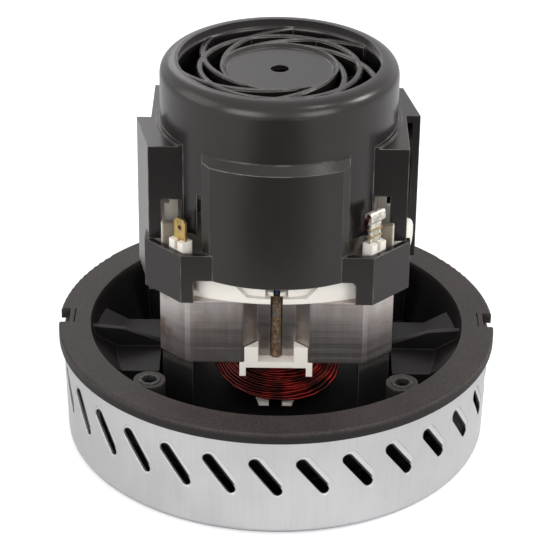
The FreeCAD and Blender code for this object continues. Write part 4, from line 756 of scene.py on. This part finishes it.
steel = Finish("turned_steel", Metallic=1.0)
ringing = steel.noise(TURNING_RINGS, detail=2.0)
film = steel.noise(OIL_FILM, detail=4.0)
tone = (ringing * 0.5 + film * 0.5).clamped(*STEEL_SPREAD)
steel.feed("Base Color", steel.blend(tone, STEEL_SHADE, STEEL))
steel.feed("Roughness", 0.2 + 0.22 * film)
steel.relief(ringing, distance=0.00002, strength=0.3, normal=steel.rounded(radius=0.00015))
dress(steel, "shaft", "shaft_nut", "impeller_spacer", "impeller_washer", "stator_bolts", "fan_clip")
for bearing in ("lower_bearing_", "upper_bearing_"):
    dress(steel, bearing + "outer_race", bearing + "inner_race", bearing + "balls")


# Inserts in the bosses: short steel sleeves that the bracket is moulded round. They are
# left dull by their black phosphate skin.
PHOSPHATE = (0.040, 0.038, 0.038)
PHOSPHATE_WORN = (0.12, 0.114, 0.11)
PHOSPHATE_GRAIN = 1700.0
PHOSPHATE_SPREAD = (0.45, 0.7)

phosphate = Finish("phosphated_insert", Metallic=0.75)
grainy = phosphate.noise(PHOSPHATE_GRAIN)
soft = phosphate.rounded(radius=0.0002)
skin = phosphate.blend(grainy.clamped(*PHOSPHATE_SPREAD), PHOSPHATE, PHOSPHATE_WORN)
phosphate.feed("Base Color", phosphate.blend(phosphate.edges(soft) * 0.6, skin, PHOSPHATE_WORN))
phosphate.feed("Roughness", 0.42 + 0.2 * grainy)
phosphate.relief(grainy, distance=0.00003, strength=0.4, normal=soft)
dress(phosphate, "mount_inserts")


# Brass parts: the push-on tab terminals, which stand in sockets of the end frame, and
# the tubes that guide the brushes. Both are pressed from rolled strip and have dulled.
BRASS = (0.62, 0.45, 0.17)
BRASS_DULL = (0.36, 0.25, 0.10)
ROLLING_LINES = (2400.0, 2400.0, 160.0)
TARNISH = 420.0
BRASS_SPREAD = (0.35, 0.65)

brass = Finish("rolled_brass", Metallic=1.0)
rolled = brass.noise(ROLLING_LINES)
tarnish = brass.noise(TARNISH, detail=4.0)
tone = (rolled * 0.4 + tarnish * 0.6).clamped(*BRASS_SPREAD)
brass.feed("Base Color", brass.blend(tone, BRASS_DULL, BRASS))
brass.feed("Roughness", 0.26 + 0.22 * tarnish)
brass.relief(rolled, distance=0.00002, strength=0.4, normal=brass.rounded(radius=0.00015))
dress(brass, "tab_terminals", "brush_tube_left", "brush_tube_right")


# Crimp terminals: tinned brass strip rolled round the end of the winding wire. Two
# bands across each one are cut, and bare brass shows in them.
TIN = (0.82, 0.78, 0.71)
TIN_DULL = (0.40, 0.37, 0.32)
BARE_BRASS = (0.50, 0.33, 0.08)
CUT_DARK = (0.02, 0.018, 0.015)
CRIMP_BANDS = ((0.0795, 0.0802), (0.0818, 0.0825))
BAND_BLUR = 0.0001
TIN_RIPPLE = 900.0
TIN_FLECK = 2300.0
TIN_SPREAD = (0.35, 0.65)
CUT_SPREAD = (0.45, 0.55)
RAGGED_SPREAD = (0.3, 0.5)

tin = Finish("tinned_strip")
dip = tin.noise(TIN_RIPPLE, detail=4.0)
fleck = tin.noise(TIN_FLECK, detail=2.0)
height = tin.axis("Z")
band = 0.0
for low, high in CRIMP_BANDS:
    band = band + (height.clamped(low, low + BAND_BLUR) - height.clamped(high, high + BAND_BLUR))
cut = tin.blend(fleck.clamped(*CUT_SPREAD), CUT_DARK, BARE_BRASS)
coat = tin.blend(dip.clamped(*TIN_SPREAD), TIN_DULL, TIN)
tin.feed("Base Color", tin.blend(band * fleck.clamped(*RAGGED_SPREAD), coat, cut))
tin.feed("Metallic", 0.85 - 0.4 * band)
tin.feed("Roughness", 0.28 + 0.25 * dip)
tin.relief(dip, distance=0.00005, strength=0.5, normal=tin.rounded(radius=0.0002))
dress(tin, "crimp_terminals")


# Winding wire ends: a few turns of the field winding's wire come up through the end
# frame and end in the roll of each crimp terminal, clamped by it.
CRIMP_PLACE = (0.0283, -0.0276)
ROLL_AXIS = (0.7007, 0.7134)
ROLL_HEIGHT = 0.0869
ROLL_HALF = 0.0030
LEAD_RADIUS = 0.00028
LEAD_GRIP = 0.0008
LEAD_OUT = 0.0003
LEAD_DROP = 0.0042
LEAD_BACK = 0.0016
LEAD_STEPS = 10
LEAD_FULLNESS = 0.7
LEAD_TUCK = 0.4
LEAD_FAN = 0.9
LEAD_FALL = 1.6


def lead_route(spread):
    """Points along one wire, from the grip of the roll down to the end frame."""
    route = []
    for step in range(LEAD_STEPS + 1):
        share = step / LEAD_STEPS
        bow = math.sin(math.pi * share) ** LEAD_FULLNESS * (1.0 - LEAD_TUCK * share)
        outwards = LEAD_GRIP - ROLL_HALF - (LEAD_OUT + LEAD_GRIP) * bow
        inwards = LEAD_BACK * share ** 2 + spread * LEAD_RADIUS * (LEAD_FAN + share)
        route.append((
            CRIMP_PLACE[0] + ROLL_AXIS[0] * outwards - ROLL_AXIS[1] * inwards,
            CRIMP_PLACE[1] + ROLL_AXIS[1] * outwards + ROLL_AXIS[0] * inwards,
            ROLL_HEIGHT - LEAD_DROP * share ** LEAD_FALL,
        ))
    return route


for side, turn in (("left", math.pi), ("right", 0.0)):
    wires = [wire_mesh("lead", lead_route(spread), LEAD_RADIUS, sides=1) for spread in (-1.0, 0.0, 1.0)]
    end = joined("lead_end_" + side, wires)
    end.data.transform(Matrix.Rotation(turn, 4, "Z"))
    paint(end, enamel)
    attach(end, "motor_body")


# Commutator: hard copper bars on the shaft, turned true after they are moulded in. They
# are browned where the brushes run.
COPPER = (0.62, 0.30, 0.17)
COPPER_TRACK = (0.22, 0.11, 0.07)
COPPER_RINGS = (250.0, 250.0, 7000.0)
TRACK_FROM = (0.0685, 0.0692)
TRACK_TO = (0.0778, 0.0785)

copper = Finish("turned_copper", Metallic=1.0)
turning = copper.noise(COPPER_RINGS, detail=2.0)
height = copper.axis("Z")
track = height.clamped(*TRACK_FROM) - height.clamped(*TRACK_TO)
copper.feed("Base Color", copper.blend(track * 0.8, COPPER, COPPER_TRACK))
copper.feed("Roughness", 0.25 + 0.2 * turning)
copper.relief(turning, distance=0.00003, strength=0.4)
dress(copper, "commutator")


# Carbon brushes: blocks of pressed graphite, black and faintly sparkling. They slide in
# the brass tubes, and the springs hold them to the commutator.
GRAPHITE = (0.018, 0.018, 0.02)
GRAPHITE_SPARK = (0.07, 0.07, 0.075)
GRAPHITE_GRAIN = 5200.0
SPARK_SPREAD = (0.4, 0.7)

carbon = Finish("pressed_carbon", Specular_IOR_Level=0.6)
graphite = carbon.noise(GRAPHITE_GRAIN, detail=2.0)
carbon.feed("Base Color", carbon.blend(graphite.clamped(*SPARK_SPREAD), GRAPHITE, GRAPHITE_SPARK))
carbon.feed("Roughness", 0.5 + 0.2 * graphite)
carbon.relief(graphite, distance=0.00004, strength=0.5)
dress(carbon, "carbon_brush_left", "carbon_brush_right")


# Brush springs: coils of hard-drawn steel wire behind the brushes, each remade from
# its CAD mesh with doubled points merged. In the motor a coil shortens as its brush
# slides out; here each keeps its modelled length.
BRUSH_SLIDE = 0.0041
BRUSH_TURN = math.radians(-13)
MERGE_DISTANCE = 0.000001

for side, way in (("right", 1.0), ("left", -1.0)):
    shape = bmesh.new()
    shape.from_mesh(nodes["brush_spring_" + side].data)
    bmesh.ops.remove_doubles(shape, verts=shape.verts, dist=MERGE_DISTANCE)
    coil = placed("spring_coil_" + side, shape)
    paint(coil, steel)
    outwards = Vector((way * math.cos(BRUSH_TURN), way * math.sin(BRUSH_TURN), 0.0))
    reach = [vertex.co.dot(outwards) for vertex in coil.data.vertices]
    keep = 1.0 - BRUSH_SLIDE / (max(reach) - min(reach))
    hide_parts("brush_spring_" + side)
    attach(coil, "motor_body")
    "brush_%s_slide" % side
    outwards * max(reach)
    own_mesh(coil)


# Fan and bearing cages: mouldings in dark nylon. The fan sits on the shaft's end under
# the grille, held by its clip, and each cage keeps its bearing's balls apart.
FAN_BLACK = (0.022, 0.022, 0.023)
FAN_BLACK_PALE = (0.04, 0.04, 0.04)
FAN_GRAIN = 1800.0
GLOSS_SPREAD = (0.3, 0.7)

fan_nylon = Finish("fan_nylon", Specular_IOR_Level=0.4)
gloss = fan_nylon.noise(FAN_GRAIN)
fan_nylon.feed("Base Color", fan_nylon.blend(gloss.clamped(*GLOSS_SPREAD), FAN_BLACK, FAN_BLACK_PALE))
fan_nylon.feed("Roughness", 0.42 + 0.15 * gloss)
fan_nylon.relief(gloss, distance=0.00004, strength=0.3, normal=fan_nylon.rounded(radius=0.0003))
dress(fan_nylon, "cooling_fan", "lower_bearing_cage", "upper_bearing_cage")


# Top cover: one black moulding with a satin skin, the swirl grille in its mouth. Its
# edges carry painted highlights here and there, and the mouth's lip is rounded over.
COVER = (0.0085, 0.0072, 0.0072)
COVER_PALE = (0.0135, 0.0112, 0.0112)
COVER_EDGE_HIGHLIGHT = (0.34, 0.31, 0.28)
COVER_SHINE = (1.0, 0.93, 0.92)
COVER_FLOW = (35.0, 35.0, 14.0)
COVER_GRAIN = 3600.0
GLINTS = 130.0
COVER_SPREAD = (0.35, 0.65)
GLINT_SPREAD = (0.45, 0.62)
COVER_TOP = 0.1239
LIP_ROUND = 0.0050
MOUTH_IN = (0.0292, 0.0297)
MOUTH_OUT = (0.0301, 0.0304)
MOUTH_WALL = (0.1188, 0.1194)
UPWARDS = (0.0, 0.0, 1.0)
TO_SHAFT = (-1.0, -1.0, 0.0)

satin = Finish("cover_satin", Specular_IOR_Level=0.5, Specular_Tint=COVER_SHINE)
flow = satin.noise(COVER_FLOW, detail=4.0)
skin = satin.noise(COVER_GRAIN, detail=2.0)
glint = satin.noise(GLINTS, detail=2.0).clamped(*GLINT_SPREAD)
soft = satin.rounded(radius=0.0004)
shell_colour = satin.blend((flow * 0.7 + skin * 0.3).clamped(*COVER_SPREAD), COVER, COVER_PALE)
# Painted highlight: glints are painted along the edges.
satin.feed("Base Color", satin.blend(satin.edges(soft) * (0.2 + 0.45 * glint), shell_colour, COVER_EDGE_HIGHLIGHT))
satin.feed("Roughness", 0.17 + 0.08 * flow + 0.08 * skin)
height = satin.axis("Z")
out = from_shaft(satin)
inwards = satin.vectors("NORMALIZE", satin.vectors("MULTIPLY", satin.place, TO_SHAFT))
fallen = 1.0 - height.clamped(COVER_TOP - LIP_ROUND, COVER_TOP)
turned_lip = satin.vectors("NORMALIZE", satin.blend(fallen, UPWARDS, inwards))
mouth_lip = (out.clamped(*MOUTH_IN) - out.clamped(*MOUTH_OUT)) * height.clamped(*MOUTH_WALL)
satin.relief(skin, distance=0.00003, strength=0.35, normal=satin.blend(mouth_lip, soft, turned_lip))
dress(satin, "top_cover")


visual_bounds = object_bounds()
({
    "cad": [list(corner) for corner in cad_bounds],
    "visual": [list(corner) for corner in visual_bounds],
})
